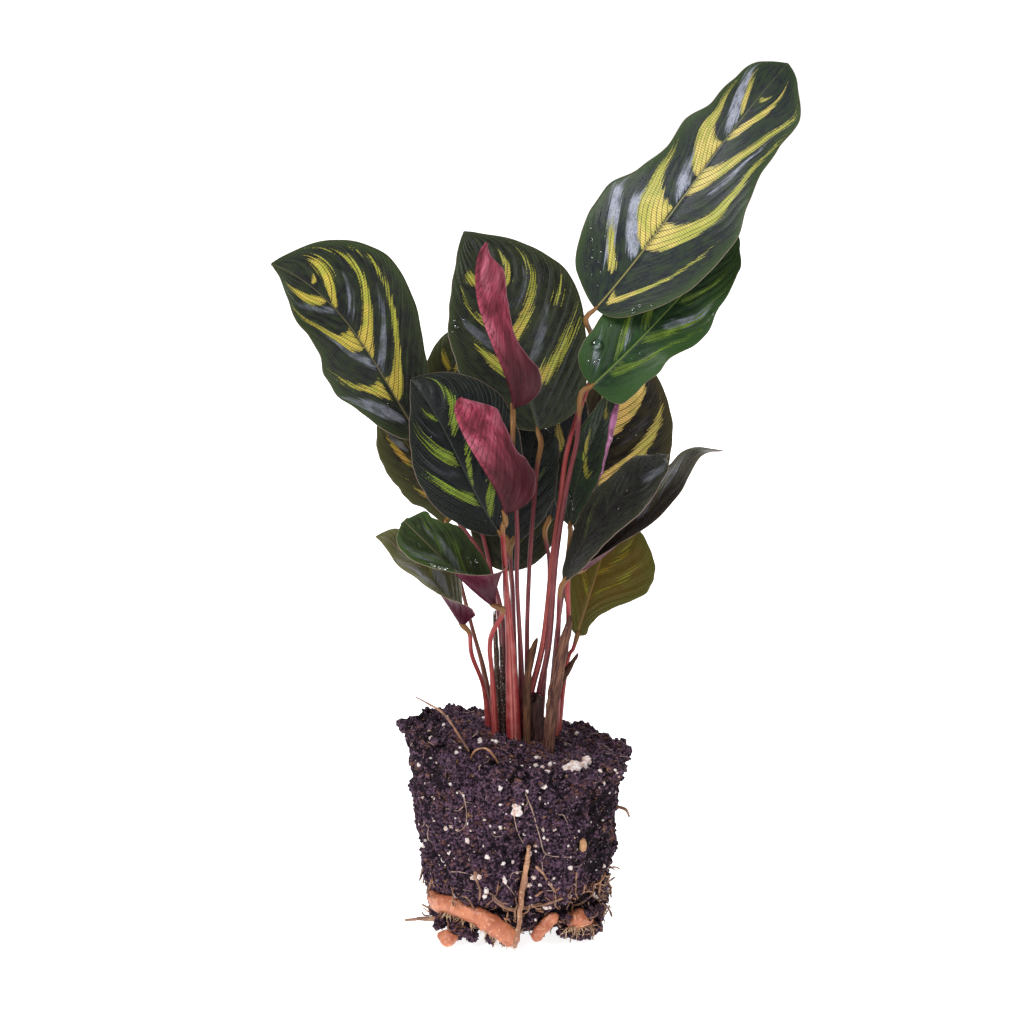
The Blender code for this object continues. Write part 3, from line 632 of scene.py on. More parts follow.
def leaf_sheet(name, t, v):
    """The quilted middle surface of a blade, its normals, and what the vertices remember."""
    leaf = BLADES[name]
    grid = blade_surface(leaf, t, v)
    normal = grid_normals(grid)
    length = rib_length(name)
    along, across = np.meshgrid(t, v, indexing="ij")
    part = np.abs(across)
    reach = np.where(across < 0, outline(leaf, 0, t)[:, None], outline(leaf, 1, t)[:, None])
    vein = (along - VEIN_SWEEP * part ** 1.3) * length
    fade = ease((part - 0.04) / 0.3) * (1 - part ** 6)
    quilt = QUILT_HEIGHT * np.sin(2 * pi * vein / QUILT_GAP) * fade * np.sin(pi * along) ** 0.5
    groove = -0.45 * np.exp(-(part * reach / 0.9) ** 2) * (1 - along) ** 0.5
    grid = grid + normal * (quilt + groove)[..., None]
    if name in TIP_TURNS:
        start, shift = TIP_TURNS[name]
        turned = np.clip((along - start) / (1 - start), 0, 1) ** 2 * (1 - part) ** 0.7
        grid = grid + turned[..., None] * np.array(shift)
    for start, end, shift in SWAYS.get(name, ()):
        stretch = np.clip((along - start) / (end - start), 0, 1)
        grid = grid + (np.sin(pi * stretch) ** 2)[..., None] * np.array(shift)
    marks = []
    for table in (STRIPES, PAINTED_GLOSS):
        halves = table.get(name, ((), ()))
        fields = [band_field(rows, along, part, length, reach) for rows in halves]
        marks.append(np.where(across < 0, fields[0], fields[1]))
    marks.append(reach * (1 - part))
    place = np.stack([along * length, across * reach, vein], -1)
    return grid, normal, place, np.stack(marks, -1)


def grow_blade(name, upper, lower):
    length = rib_length(name)
    widest = max(BLADES[name]["left"] + BLADES[name]["right"])
    x = np.linspace(0, 1, int(length / ROW_GAP))
    t = x - 0.1 * np.sin(2 * pi * x)
    v = np.linspace(-1, 1, 2 * int(widest / COLUMN_GAP) + 1)
    grid, normal, place, marks = leaf_sheet(name, t, v)
    half = BLADE_HALF_THICKNESS * (1 - 0.6 * np.abs(v) ** 8)[None, :, None]
    ridge = 0.55 * np.exp(-(place[..., 1] / 0.8) ** 2) * (1 - t[:, None]) ** 0.5
    top = grid + normal * half
    under = grid - normal * (half + ridge[..., None])
    rows, columns = grid.shape[:2]
    vertices = np.vstack([top.reshape(-1, 3), under.reshape(-1, 3)])
    skin = rows * columns
    faces = []
    for row in range(rows - 1):
        for column in range(columns - 1):
            corner = row * columns + column
            faces.append((corner, corner + columns, corner + columns + 1, corner + 1))
    below = [tuple(skin + i for i in reversed(face)) for face in faces]
    rim = [row * columns for row in range(rows)]
    rim += [(rows - 1) * columns + column for column in range(1, columns)]
    rim += [row * columns + columns - 1 for row in range(rows - 2, -1, -1)]
    rim += list(range(columns - 2, 0, -1))
    edge = [(a, b, b + skin, a + skin) for a, b in zip(rim, rim[1:] + rim[:1])]
    kinds = [0] * len(faces) + [1] * len(below) + [0] * len(edge)
    thing = add_piece("leaf_" + name, vertices, faces + below + edge, [upper, lower], kinds)
    add_values(thing, "leaf_place", np.vstack([place.reshape(-1, 3)] * 2))
    add_values(thing, "leaf_marks", np.vstack([marks.reshape(-1, 3)] * 2))
    hand_over(thing, "blade", "blade_" + name)
    return thing


# %% [markdown]
# ## The finish of a blade
# One node group draws the pattern for every leaf from the numbers at the vertices: stripes with fine
# dark cross veins, the dark ground that turns green at the margin, the midrib, blue-grey gloss bands
# that are painted highlights, and the thin pale margin. Each leaf gives it its own colours. The
# underside is wine red on all leaves, which shows on the two young ones that are still folded, and has
# a group of its own. Its lighter and darker lengthwise streaks are painted sheen and painted shade.

# %% Node group: peacock pattern
pattern, tree, given, made = new_group(
    "peacock pattern",
    {"Stripe": (0.5, 0.5, 0.1, 1.0), "Ground": (0.02, 0.03, 0.02, 1.0), "Fresh": (0.04, 0.08, 0.02, 1.0),
     "Midrib": (0.2, 0.25, 0.06, 1.0), "Fresh Width": 6.0, "Gloss": 0.5, "Fray": 1.0},
    {"Colour": "Color", "Roughness": "Float", "Height": "Float"})
place = tree.attribute("leaf_place")
along, across, vein = tree.parts(place)[:3]
stripe_depth, painted_gloss_depth, to_margin = tree.parts(tree.attribute("leaf_marks"))[:3]
out_from_rib = tree.math("ABSOLUTE", across)
streak = tree.noise(tree.stretch(place, (0.0, 0.05, 0.80)), 1.0, 2.0, 0.6)
streak = tree.math("SUBTRACT", tree.step(streak, 0.30, 0.70), 0.5)
streak = tree.math("MULTIPLY", streak, tree.math("MULTIPLY_ADD", out_from_rib, 0.22, 0.7))
bar = tree.noise(tree.stretch(place, (1.4, 0.0, 0.22)), 1.0, 1.0)
bar = tree.math("MULTIPLY", tree.math("SUBTRACT", bar, 0.5), tree.math("MULTIPLY_ADD", out_from_rib, 0.16, 0.9))
frayed = tree.math("MULTIPLY_ADD", tree.math("ADD", streak, bar), given["Fray"], stripe_depth)
in_stripe = tree.step(frayed, -0.2, 0.35)
wobble = tree.noise(place, 0.35, 2.0)
cross_turn = tree.math("MULTIPLY_ADD", out_from_rib, 0.6, tree.math("MULTIPLY", along, 5.6))
cross_wave = tree.math("SINE", tree.math("MULTIPLY_ADD", wobble, 6.0, cross_turn))
cross_vein = tree.step(cross_wave, 0.1, 0.8)
long_wave = tree.math("SINE", tree.math("MULTIPLY_ADD", wobble, 1.2, tree.math("MULTIPLY", vein, 1.45)))
long_vein = tree.step(long_wave, 0.87, 0.97)
hair_wave = tree.math("SINE", tree.math("MULTIPLY", vein, 7.5))
cloud = tree.noise(place, 0.16, 3.0)
dim_stripe = tree.mix(0.72, given["Stripe"], given["Fresh"])
lime = tree.mix(0.75, given["Stripe"], (0.22, 0.34, 0.03))
stripe = tree.mix(tree.step(tree.math("MULTIPLY_ADD", out_from_rib, 0.018, cloud), 0.48, 0.85, 0.0, 0.8),
                  given["Stripe"], lime)
stripe = tree.mix(tree.math("MULTIPLY", cross_vein, 0.80), stripe, dim_stripe)
stripe = tree.mix(tree.step(frayed, 2.4, 0.2, 0.0, 0.5), stripe, dim_stripe)
stripe = tree.mix(tree.math("MULTIPLY", long_vein, 0.85), stripe, given["Ground"])
ground = tree.mix(tree.step(cloud, 0.35, 0.7, 0.0, 0.5), given["Ground"], given["Fresh"])
nearness = tree.math("ADD", to_margin, tree.math("MULTIPLY_ADD", cloud, 8.0, -4.0))
at_margin = tree.node("ShaderNodeMapRange", enumerate((nearness, 0.0, given["Fresh Width"], 0.9, 0.0)),
                      interpolation_type="SMOOTHSTEP").outputs[0]
ground = tree.mix(at_margin, ground, given["Fresh"])
ground = tree.mix(tree.step(hair_wave, 0.3, 1.0, 0.0, 0.09), ground, given["Fresh"])
pale_line = tree.step(tree.math("SINE", tree.math("MULTIPLY_ADD", wobble, 1.5, tree.math("MULTIPLY", vein, 2.1))),
                      0.965, 0.998, 0.0, 0.55)
ground = tree.mix(tree.math("MULTIPLY", pale_line, tree.step(to_margin, 16.0, 3.0)), ground, (0.14, 0.15, 0.11))
speckle = tree.noise(tree.stretch(place, (0.4, 1.0, 0.4)), 1.3, 3.0, 0.65)
# Painted highlight: pale blue-grey gloss bands from the gloss rows, speckled and streaked along the veins.
painted_sheen_streak = tree.noise(tree.stretch(place, (0.02, 0.05, 0.55)), 1.0, 2.0)
painted_sheen_depth = tree.math("MULTIPLY_ADD", tree.math("SUBTRACT", painted_sheen_streak, 0.5), 9.0, painted_gloss_depth)
painted_shine = tree.math("MULTIPLY", tree.step(painted_sheen_depth, -0.6, 2.6), tree.step(speckle, 0.30, 0.64, 0.45, 1.0))
painted_shine = tree.math("MULTIPLY", painted_shine, tree.step(tree.noise(place, 0.13, 2.0), 0.32, 0.58, 0.35, 1.0))
painted_shine = tree.math("MULTIPLY", painted_shine, given["Gloss"])
ground = tree.mix(painted_shine, ground, (0.40, 0.42, 0.52))
colour = tree.mix(in_stripe, ground, stripe)
rib_half = tree.math("MULTIPLY_ADD", along, -0.003, 0.50)
off_rib = tree.math("SUBTRACT", out_from_rib, rib_half)
colour = tree.mix(tree.step(off_rib, 0.12, -0.22, 0.0, 0.85), colour, given["Midrib"])
colour = tree.mix(tree.step(to_margin, 0.42, 0.15, 0.0, 0.42), colour, (0.36, 0.24, 0.20))
tree.feed(made["Colour"], colour)
tree.feed(made["Roughness"], tree.step(cloud, 0.3, 0.7, 0.24, 0.40))
relief = tree.math("ADD", tree.math("MULTIPLY", cross_vein, -0.35), tree.math("MULTIPLY", long_vein, -0.8))
relief = tree.math("MULTIPLY_ADD", hair_wave, 0.12, relief)
tree.feed(made["Height"], tree.math("MULTIPLY_ADD", speckle, 0.5, relief))
print("pattern group nodes:", len(pattern.nodes))

# %% Node group: wine red underside
underside, tree, given, made = new_group(
    "wine underside", {"Rose": (0.38, 0.07, 0.11, 1.0), "Deep": (0.10, 0.012, 0.02, 1.0), "Cracks": 0.0},
    {"Colour": "Color", "Roughness": "Float", "Height": "Float"})
place = tree.attribute("leaf_place")
along, across, vein = tree.parts(place)[:3]
to_margin = tree.parts(tree.attribute("leaf_marks"))[2]
wobble = tree.noise(place, 0.3, 2.0)
side_wave = tree.math("SINE", tree.math("MULTIPLY_ADD", wobble, 2.0, tree.math("MULTIPLY", vein, 1.5)))
side_vein = tree.step(side_wave, 0.72, 0.99)
hair_wave = tree.math("SINE", tree.math("MULTIPLY_ADD", wobble, 3.0, tree.math("MULTIPLY", vein, 6.0)))
cloud = tree.noise(tree.stretch(place, (0.5, 1.0, 0.5)), 0.22, 3.0)
near_foot = tree.step(tree.math("MULTIPLY_ADD", cloud, 26.0, along), 60.0, 26.0, 0.0, 0.90)
# Painted light on the underside: lengthwise streaks, lighter pink where a painted sheen lies and dark wine where
# painted shade lies.
fold = tree.noise(tree.stretch(place, (0.35, 1.6, 0.35)), 0.10, 2.0)
painted_sheen_pink = tree.mix(0.5, given["Rose"], (0.62, 0.20, 0.27))
colour = tree.mix(tree.step(fold, 0.55, 0.36, 0.0, 0.75), given["Rose"], painted_sheen_pink)
colour = tree.mix(tree.step(fold, 0.48, 0.68, 0.0, 0.62), colour, given["Deep"])
colour = tree.mix(near_foot, colour, given["Deep"])
colour = tree.mix(tree.step(cloud, 0.42, 0.62, 0.0, 0.42), colour, given["Deep"])
colour = tree.mix(tree.math("MULTIPLY", side_vein, 0.5), colour, given["Deep"])
colour = tree.mix(tree.step(hair_wave, 0.3, 1.0, 0.0, 0.12), colour, given["Deep"])
crack = tree.noise(tree.stretch(place, (0.10, 0.55, 0.10)), 1.0, 4.0, 0.6)
crack = tree.step(tree.math("ABSOLUTE", tree.math("SUBTRACT", crack, 0.5)), 0.014, 0.004)
patch = tree.step(tree.noise(place, 0.09, 1.0), 0.50, 0.60)
crack = tree.math("MULTIPLY", tree.math("MULTIPLY", crack, patch), given["Cracks"])
colour = tree.mix(crack, colour, given["Deep"])
colour = tree.mix(tree.step(to_margin, 0.9, 0.2, 0.0, 0.55), colour, (0.50, 0.22, 0.26))
tree.feed(made["Colour"], colour)
tree.feed(made["Roughness"], tree.step(cloud, 0.35, 0.65, 0.34, 0.5))
relief = tree.math("MULTIPLY_ADD", side_vein, 0.9, tree.math("MULTIPLY", crack, -1.5))
tree.feed(made["Height"], tree.math("MULTIPLY_ADD", hair_wave, 0.15, relief))


# %% A finish for each blade
# stripe, ground, fresh green, midrib, width of the green margin, strength of the painted gloss bands (painted
# highlight), fraying
LEAF_COLOURS = {
    # right_top: its dark ground is tinted blue-grey, a painted sheen of reflected light.
    "right_top": ((.64, .50, .14), (.013, .016, .020), (.032, .056, .018), (.22, .19, .06), 6, .80, 1.0),
    "right_second": ((.075, .110, .014), (.006, .020, .007), (.024, .066, .012), (.12, .17, .04), 14, .6, 2.2),
    "left_top": ((.56, .42, .07), (.011, .012, .012), (.030, .046, .014), (.12, .10, .05), 6, .40, 1.0),
    "centre_top": ((.44, .33, .065), (.0105, .0115, .0095), (.032, .044, .016), (.05, .06, .03), 6, .20, 1.2),
    "left_centre": ((.15, .20, .02), (.0020, .0024, .0032), (.0045, .009, .005), (.025, .035, .025), 3, .08, 1.8),
    "left_back_high": ((.36, .28, .03), (.014, .020, .009), (.050, .064, .016), (.04, .05, .02), 8, .15, 1.5),
    "left_back_low": ((.40, .23, .04), (.018, .016, .008), (.048, .052, .013), (.07, .06, .02), 8, .25, 1.5),
    "low_left_upper": ((.050, .085, .016), (.022, .030, .014), (.048, .085, .020), (.20, .16, .10), 7, .24, 2.5),
    "low_left_lower": ((.130, .135, .034), (.072, .074, .034), (.120, .128, .034), (.20, .15, .09), 8, .40, 2.5),
    "centre_low": ((.17, .11, .02), (.007, .009, .006), (.032, .030, .010), (.04, .03, .02), 6, .1, 1.5),
    "centre_mid": ((.03, .04, .012), (.005, .0065, .007), (.012, .018, .012), (.02, .02, .012), 4, .1, 1.5),
    "right_back": ((.95, .66, .20), (.012, .011, .008), (.052, .044, .014), (.07, .055, .03), 7, .12, 0.8),
    "right_narrow": ((.26, .21, .03), (.006, .0085, .006), (.014, .036, .010), (.03, .035, .02), 4, .08, 1.5),
    # right_dark: its near-black colours are painted shade, for a blade whose upper side lies in shadow.
    "right_dark": ((.018, .015, .009), (.0065, .006, .0065), (.020, .022, .012), (.016, .016, .016), 5, .22, 2.5),
    "right_far": ((.075, .070, .040), (.034, .032, .028), (.070, .066, .040), (.11, .09, .06), 6, .45, 2.5),
    "low_right": ((.24, .15, .014), (.100, .066, .010), (.088, .088, .012), (.26, .15, .05), 9, .1, 2.5),
    "centre_back": ((.36, .29, .07), (.006, .009, .012), (.013, .020, .018), (.03, .03, .02), 3, .1, 1.2),
    "rolled_top": ((.05, .10, .02), (.008, .018, .008), (.018, .052, .012), (.05, .08, .03), 6, .1, 1.0),
    "rolled_low": ((.05, .10, .02), (.008, .018, .008), (.018, .052, .012), (.05, .08, .03), 6, .1, 1.0),
}


def upper_finish(name):
    stripe, ground, fresh, midrib, fresh_width, painted_sheen_strength, fray = LEAF_COLOURS[name]
    finish, tree, shader = new_finish("upper skin of " + name, Specular_IOR_Level=0.14, Coat_Weight=0.07,
                                     Coat_Roughness=0.15)
    drawn = use_group(tree, pattern, Stripe=stripe, Ground=ground, Fresh=fresh, Midrib=midrib,
                      Fresh_Width=float(fresh_width), Gloss=painted_sheen_strength, Fray=fray)
    tree.feed(shader.inputs["Base Color"], drawn["Colour"])
    tree.feed(shader.inputs["Roughness"], drawn["Roughness"])
    add_bump(tree, shader, drawn["Height"], 0.00025, 0.6)
    return finish


def lower_finish(name, rose, deep, cracks):
    finish, tree, shader = new_finish(name, Specular_IOR_Level=0.12, Coat_Weight=0.05, Coat_Roughness=0.2)
    drawn = use_group(tree, underside, Rose=rose, Deep=deep, Cracks=cracks)
    tree.feed(shader.inputs["Base Color"], drawn["Colour"])
    tree.feed(shader.inputs["Roughness"], drawn["Roughness"])
    add_bump(tree, shader, drawn["Height"], 0.0003, 0.6)
    return finish


rose_skin = lower_finish("young underside", (.34, .050, .088), (.030, .0015, .004), 1.0)
wine_skin = lower_finish("old underside", (.18, .026, .060), (.040, .004, .012), 0.0)
faces = 0
for name in BLADES:
    leaf = grow_blade(name, upper_finish(name), rose_skin if name.startswith("rolled") else wine_skin)
    faces += triangles(leaf)
print("blades:", len(BLADES), "triangles:", faces)

# %% [markdown]
# ## The stalks
# A leaf stalk starts as a sheath that wraps the younger stalks inside it. Its free edge shows as a
# step along the front. Above the sheath it is a thin wiry stem, and just under the blade it swells
# to a smooth tan joint, which turns the leaf towards the light. So the tube follows the same path as
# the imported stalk, with a cross-section that has an overlapping edge which fades out upwards.

# %% Paths of the stalks, in millimetres
STALK_STEPS = 90
STALK_SIDES = 22
STALK_TOP = 1.4
JOINT_GAP = 0.9
JOINT_LAP = 3.0
JOINT_STRAIGHT = 7.0
JOINT_SHARE = 0.15
STALKS = {
    "rolled_low": (((-1, -6, 91), (-3, -14, 144), (-5, -26, 177), (-7, -43, 212)), 3.7, 1.2, 0.75),
    "rolled_top": (((3, 1, 91), (2, -6, 137), (0, -20, 180), (0, -36, 211), (-2, -39, 246)),
                   2.0, 1.1, 0.4),
    "centre_top": (((7, 6, 90), (5, -2, 141), (6, -10, 184), (8, -10, 214), (10, -5, 235)),
                   2.0, 1.1, 0.4),
    "left_centre": (((-3, 4, 91), (-4, -6, 142), (-6, -20, 181)), 1.8, 1.1, 0.4),
    "right_top": (((7, -2, 119.6), (13, -6, 147), (17, -9, 188), (21, -9, 218), (24, 3, 238),
                   (30, 14, 257), (37, 16, 277), (37, 15, 293)), 1.6, 1.2, 0.3),
    "right_second": (((11, -3, 119.6), (16, -8, 148), (19, -14, 190), (24, -15, 225), (29, -13, 249)),
                     1.6, 1.2, 0.3),
    "right_narrow": (((16, 10, 89), (19, 5, 140), (22, 3, 166)), 2.0, 1.1, 0.5),
    "right_dark": (((15, 2, 89), (18, -2, 126), (20, -8, 148)), 2.0, 1.2, 0.5),
    "right_far": (((19, 16, 88), (21, 6, 129), (25, -4, 152)), 2.0, 1.2, 0.5),
    "low_right": (((20, 25, 88), (25, 16, 130)), 2.0, 1.0, 0.5),
    "left_top": (((-5, 14, 92), (-6, 6, 139), (-9, 2, 166), (-18, 2, 189), (-29, 2, 206),
                  (-41, 0, 234)), 2.0, 1.2, 0.4),
    "left_back_low": (((-11, 16, 93), (-16, 14, 125), (-22, 18, 147), (-29, 22, 174)), 2.0, 1.0, 0.5),
    "left_back_high": (((-6, 26, 92), (-8, 26, 140), (-12, 32, 169), (-19, 40, 198)), 1.8, 1.0, 0.4),
    "low_left_upper": (((-10, -2, 93), (-12, -10, 128), (-13, -24, 152)), 2.0, 1.2, 0.5),
    "low_left_lower": (((-13, 8, 93), (-16, 2, 120), (-22, -12, 141)), 2.0, 1.1, 0.5),
    "centre_low": (((-1, 26, 91), (-1, 28, 129), (-2, 31, 154)), 1.8, 1.0, 0.4),
    "centre_mid": (((1, 13, 91), (-1, 8, 139), (-2, 8, 169)), 1.8, 1.0, 0.4),
    "right_back": (((17, 34, 88), (23, 38, 126), (30, 44, 156)), 2.0, 1.1, 0.4),
    "centre_back": (((11, 26, 89), (15, 28, 134), (16, 31, 159), (16, 34, 179)), 1.8, 1.0, 0.4),
}


# %% Tubes along a path
def smooth_path(points, count):
    """Evenly spread points on a rounded curve through the given ones."""
    points = np.asarray(points, float)
    known = stations(points)
    before = 2 * points[0] - points[1]
    after = 2 * points[-1] - points[-2]
    chain = np.vstack([before, points, after])
    path = []
    for at in np.linspace(0, 1, count):
        span = min(int(np.searchsorted(known, at, side="right")) - 1, len(points) - 2)
        u = (at - known[span]) / (known[span + 1] - known[span])
        a, b, c, d = chain[span:span + 4]
        curve = 2 * b + (c - a) * u + (2 * a - 5 * b + 4 * c - d) * u ** 2
        path.append((curve + (3 * b - a - 3 * c + d) * u ** 3) / 2)
    return np.array(path)


def tube_rings(path, radii, sides):
    """Rings of points round a path, with no twist from one ring to the next."""
    along = unit(np.gradient(path, axis=0))
    side = unit(np.cross(along[0], (0.0, 1.0, 0.2)))
    rings = []
    for place, direction, radius in zip(path, along, radii):
        side = unit(side - (side @ direction) * direction)
        other = np.cross(direction, side)
        turn = 2 * pi * np.arange(sides) / sides
        rings.append(place + radius * (np.outer(np.cos(turn), side) + np.outer(np.sin(turn), other)))
    return rings


def tube_faces(rings, sides):
    faces = [tuple(range(sides))]
    for ring in range(rings - 1):
        for i in range(sides):
            here, there = ring * sides + i, ring * sides + (i + 1) % sides
            faces.append((here, there, there + sides, here + sides))
    faces.append(tuple((rings - 1) * sides + i for i in range(sides)))
    return faces


def path_lengths(path):
    steps = np.linalg.norm(np.diff(path, axis=0), axis=1)
    return np.concatenate([[0.0], np.cumsum(steps)])


def tube_values(path, sides, share_around):
    """At each vertex: share of the length, millimetres along, share of the way round."""
    along = path_lengths(path)
    rows = np.zeros((len(path), sides, 3))
    rows[..., 0] = (along / along[-1])[:, None]
    rows[..., 1] = along[:, None]
    rows[..., 2] = share_around
    return rows.reshape(-1, 3)


# %% Node group: earth that clings
dusting, tree, given, made = new_group("clinging earth", {"Amount": 0.5, "Grain": 900.0}, {"Mask": "Float"})
spot = tree.node("ShaderNodeTexCoord").outputs["Object"]
grain = tree.node("ShaderNodeTexNoise", {"Vector": spot, "Scale": given["Grain"], "Detail": 3.0,
                                         "Roughness": 0.65}).outputs[0]
cover = tree.noise(spot, 90.0, 2.0)
total = tree.math("ADD", tree.math("MULTIPLY_ADD", cover, 0.55, grain), given["Amount"])
tree.feed(made["Mask"], tree.step(total, 1.22, 1.36))

# %% Finish of the stalks
EARTH = (0.020, 0.013, 0.014)
STALK_COLOURS = {
    # skin, thin edge of the sheath
    "maroon": ((.160, .030, .036), (.32, .085, .085)),
    "rose": ((.340, .048, .050), (.50, .14, .11)),
    "brick": ((.290, .026, .028), (.56, .20, .17)),
    "brown": ((.150, .048, .034), (.28, .10, .06)),
}
STALK_KINDS = {
    "rolled_low": "brick", "low_left_lower": "rose", "low_right": "rose", "right_far": "rose",
    "low_left_upper": "rose", "right_top": "rose", "right_second": "maroon", "right_back": "brown",
    "centre_low": "brown", "left_back_low": "brown",
}


def stalk_finish(kind):
    skin, edge = STALK_COLOURS[kind]
    finish, tree, shader = new_finish("stalk " + kind, 0.42, Specular_IOR_Level=0.2, Coat_Weight=0.06,
                                     Coat_Roughness=0.25)
    run = tree.attribute("stalk_run")
    share, along, around = tree.parts(run)[:3]
    fibre = tree.noise(tree.stretch(run, (0.0, 0.06, 16.0)), 1.0, 3.0)
    blotch = tree.noise(tree.stretch(run, (0.0, 0.11, 2.0)), 1.0, 2.0)
    dark = tuple(part * 0.55 for part in skin)
    colour = tree.mix(tree.step(fibre, 0.35, 0.68), dark, skin)
    colour = tree.mix(tree.step(blotch, 0.45, 0.72, 0.0, 0.30), colour, edge)
    from_edge = tree.math("MINIMUM", around, tree.math("SUBTRACT", 1.0, around))
    thin = tree.math("MULTIPLY", tree.step(from_edge, 0.10, 0.02), tree.step(share, 0.75, 0.4))
    colour = tree.mix(tree.math("MULTIPLY", thin, 0.55), colour, edge)
    joint = tree.step(tree.math("MULTIPLY_ADD", blotch, 0.04, share), 0.875, 0.925)
    joint_colour = tree.mix(tree.step(fibre, 0.4, 0.7), (.150, .062, .022), (.27, .150, .045))
    colour = tree.mix(joint, colour, joint_colour)
    foot = tree.step(along, 26.0, 2.0, -0.35, 0.30)
    soiled = use_group(tree, dusting, Amount=foot)["Mask"]
    colour = tree.mix(tree.math("MULTIPLY", soiled, 0.85), colour, EARTH)
    tree.feed(shader.inputs["Base Color"], colour)
    tree.feed(shader.inputs["Roughness"], tree.step(soiled, 0.0, 1.0, 0.40, 0.9))
    add_bump(tree, shader, tree.math("ADD", fibre, soiled), 0.0003, 0.5)
    return finish


stalk_finishes = {kind: stalk_finish(kind) for kind in STALK_COLOURS}


# %% Grow the stalks
def stalk_path(name):
    points = STALKS[name][0]
    rib, along = midrib(BLADES[name]["rib"], np.array([0.0]))
    _, normal, _, _ = leaf_sheet(name, np.array([0.0, 0.01, 0.02]), np.array([-0.1, 0.0, 0.1]))
    inside = rib[0] + along[0] * JOINT_LAP - normal[0, 1] * 0.8 * STALK_TOP
    ends = [tuple(rib[0] - along[0] * JOINT_STRAIGHT), tuple(rib[0] - along[0] * JOINT_GAP), tuple(inside)]
    return smooth_path(list(points) + ends, STALK_STEPS)


def grow_stalk(name, order):
    points, foot, waist, sheathed = STALKS[name]
    path = stalk_path(name)
    s = np.linspace(0, 1, STALK_STEPS)
    radii = waist + (foot - waist) * (1 - ease(s / sheathed))
    radii += (STALK_TOP - waist) * ease((s - 1 + JOINT_SHARE) / (0.7 * JOINT_SHARE))
    radii[-4:] *= (0.95, 0.82, 0.62, 0.35)
    rings = np.array(tube_rings(path, radii, STALK_SIDES))
    seam = 0.25 + 0.16 * sin(2.4 * order)
    around = (np.arange(STALK_SIDES) / STALK_SIDES - seam) % 1.0
    lap = 0.30 * (1 - ease(s / (sheathed + 0.15)))[:, None] * (around - 0.5)[None, :]
    ribs = 0.018 * np.sin(2 * pi * 7 * around)[None, :]
    flat = rings.reshape(-1, 3)
    lumps = 0.035 * lattice_noise(flat, 5.0, order).reshape(STALK_STEPS, STALK_SIDES)
    rings = path[:, None] + (rings - path[:, None]) * (1 + lap + ribs + lumps)[..., None]
    thing = add_piece("stem_" + name, rings.reshape(-1, 3), tube_faces(STALK_STEPS, STALK_SIDES),
                      [stalk_finishes[STALK_KINDS.get(name, "maroon")]])
    add_values(thing, "stalk_run", tube_values(path, STALK_SIDES, around[None, :]))
    hand_over(thing, "stalk", "stalk_" + name)
    return thing


print("stalks:", len([grow_stalk(name, order) for order, name in enumerate(STALKS)]))

# %% [markdown]
# ## Withered sheaths and stems in the crown
# Old leaf sheaths dry to brown paper round the feet of the living stalks. Two are bare stems with
# whitish specks, one is a wide wrinkled sleeve, one a long sleeve that still reaches up to a leaf, one
# a pointed scale and one a thin curled strip.
# They are tubes too, pressed flatter, with deep lengthwise wrinkles and an uneven end.

# %% Paths of the withered pieces, in millimetres
CROWN = {
    "dead_stem_left": (((-9, 4, 92), (-10, 2, 135), (-11, 0, 160)), (1.6, 1.4, 0.8)),
    "dead_stem_right": (((-6.5, -1, 92), (-7, -4, 129), (-8, -6, 145)), (1.5, 1.2, 0.7)),
    "brown_sheath": (((9, -2, 90), (9, -2, 104), (9, -3, 118.5)), (4.3, 4.2, 3.9)),
    "long_sheath": (((15, -12, 90), (18, -13, 118), (21.5, -13.5, 140), (26, -12, 160)),
                    (2.6, 2.9, 2.8, 1.5)),
    "pointed_scale": (((16, -4, 90), (19, -6, 120), (25, -8, 133), (30, -9, 141)), (1.5, 2.2, 1.6, 0.4)),
    "dry_sheath": (((5, -9, 90), (5, -10, 122), (6, -10, 135), (8, -9, 144), (10, -8, 149)),
                   (1.3, 1.8, 1.6, 1.6, 0.9)),
}


# %% Finish of withered skin
def withered_finish(name, skin, light, specks):
    finish, tree, shader = new_finish(name, 0.75, Specular_IOR_Level=0.15)
    run = tree.attribute("stalk_run")
    fibre = tree.noise(tree.stretch(run, (0.0, 0.08, 22.0)), 1.0, 4.0, 0.6)
    spot = tree.node("ShaderNodeTexCoord").outputs["Object"]
    colour = tree.mix(tree.step(fibre, 0.38, 0.66), skin, light)
    soiled = use_group(tree, dusting, Amount=0.02)["Mask"]
    colour = tree.mix(soiled, colour, EARTH)
    speck = tree.step(tree.noise(spot, 1300.0, 1.0), specks, specks + 0.05)
    colour = tree.mix(speck, colour, (.60, .56, .52))
    tree.feed(shader.inputs["Base Color"], colour)
    tree.feed(shader.inputs["Roughness"], tree.step(fibre, 0.3, 0.7, 0.55, 0.9))
    add_bump(tree, shader, tree.math("ADD", fibre, speck), 0.0005, 0.8)
    return finish


WITHERED_FINISHES = {
    "dead_stem_left": withered_finish("dead stem", (.045, .026, .020), (.15, .085, .062), 0.63),
    "dead_stem_right": withered_finish("dead stem in shade", (.030, .017, .015), (.10, .058, .048), 0.62),
    "brown_sheath": withered_finish("brown sheath", (.038, .018, .017), (.105, .052, .044), 0.76),
    "long_sheath": withered_finish("long sheath", (.050, .020, .017), (.190, .090, .058), 0.74),
    "pointed_scale": withered_finish("pointed scale", (.026, .010, .007), (.085, .040, .024), 0.80),
    "dry_sheath": withered_finish("dry sheath", (.036, .016, .010), (.160, .070, .036), 0.76),
}
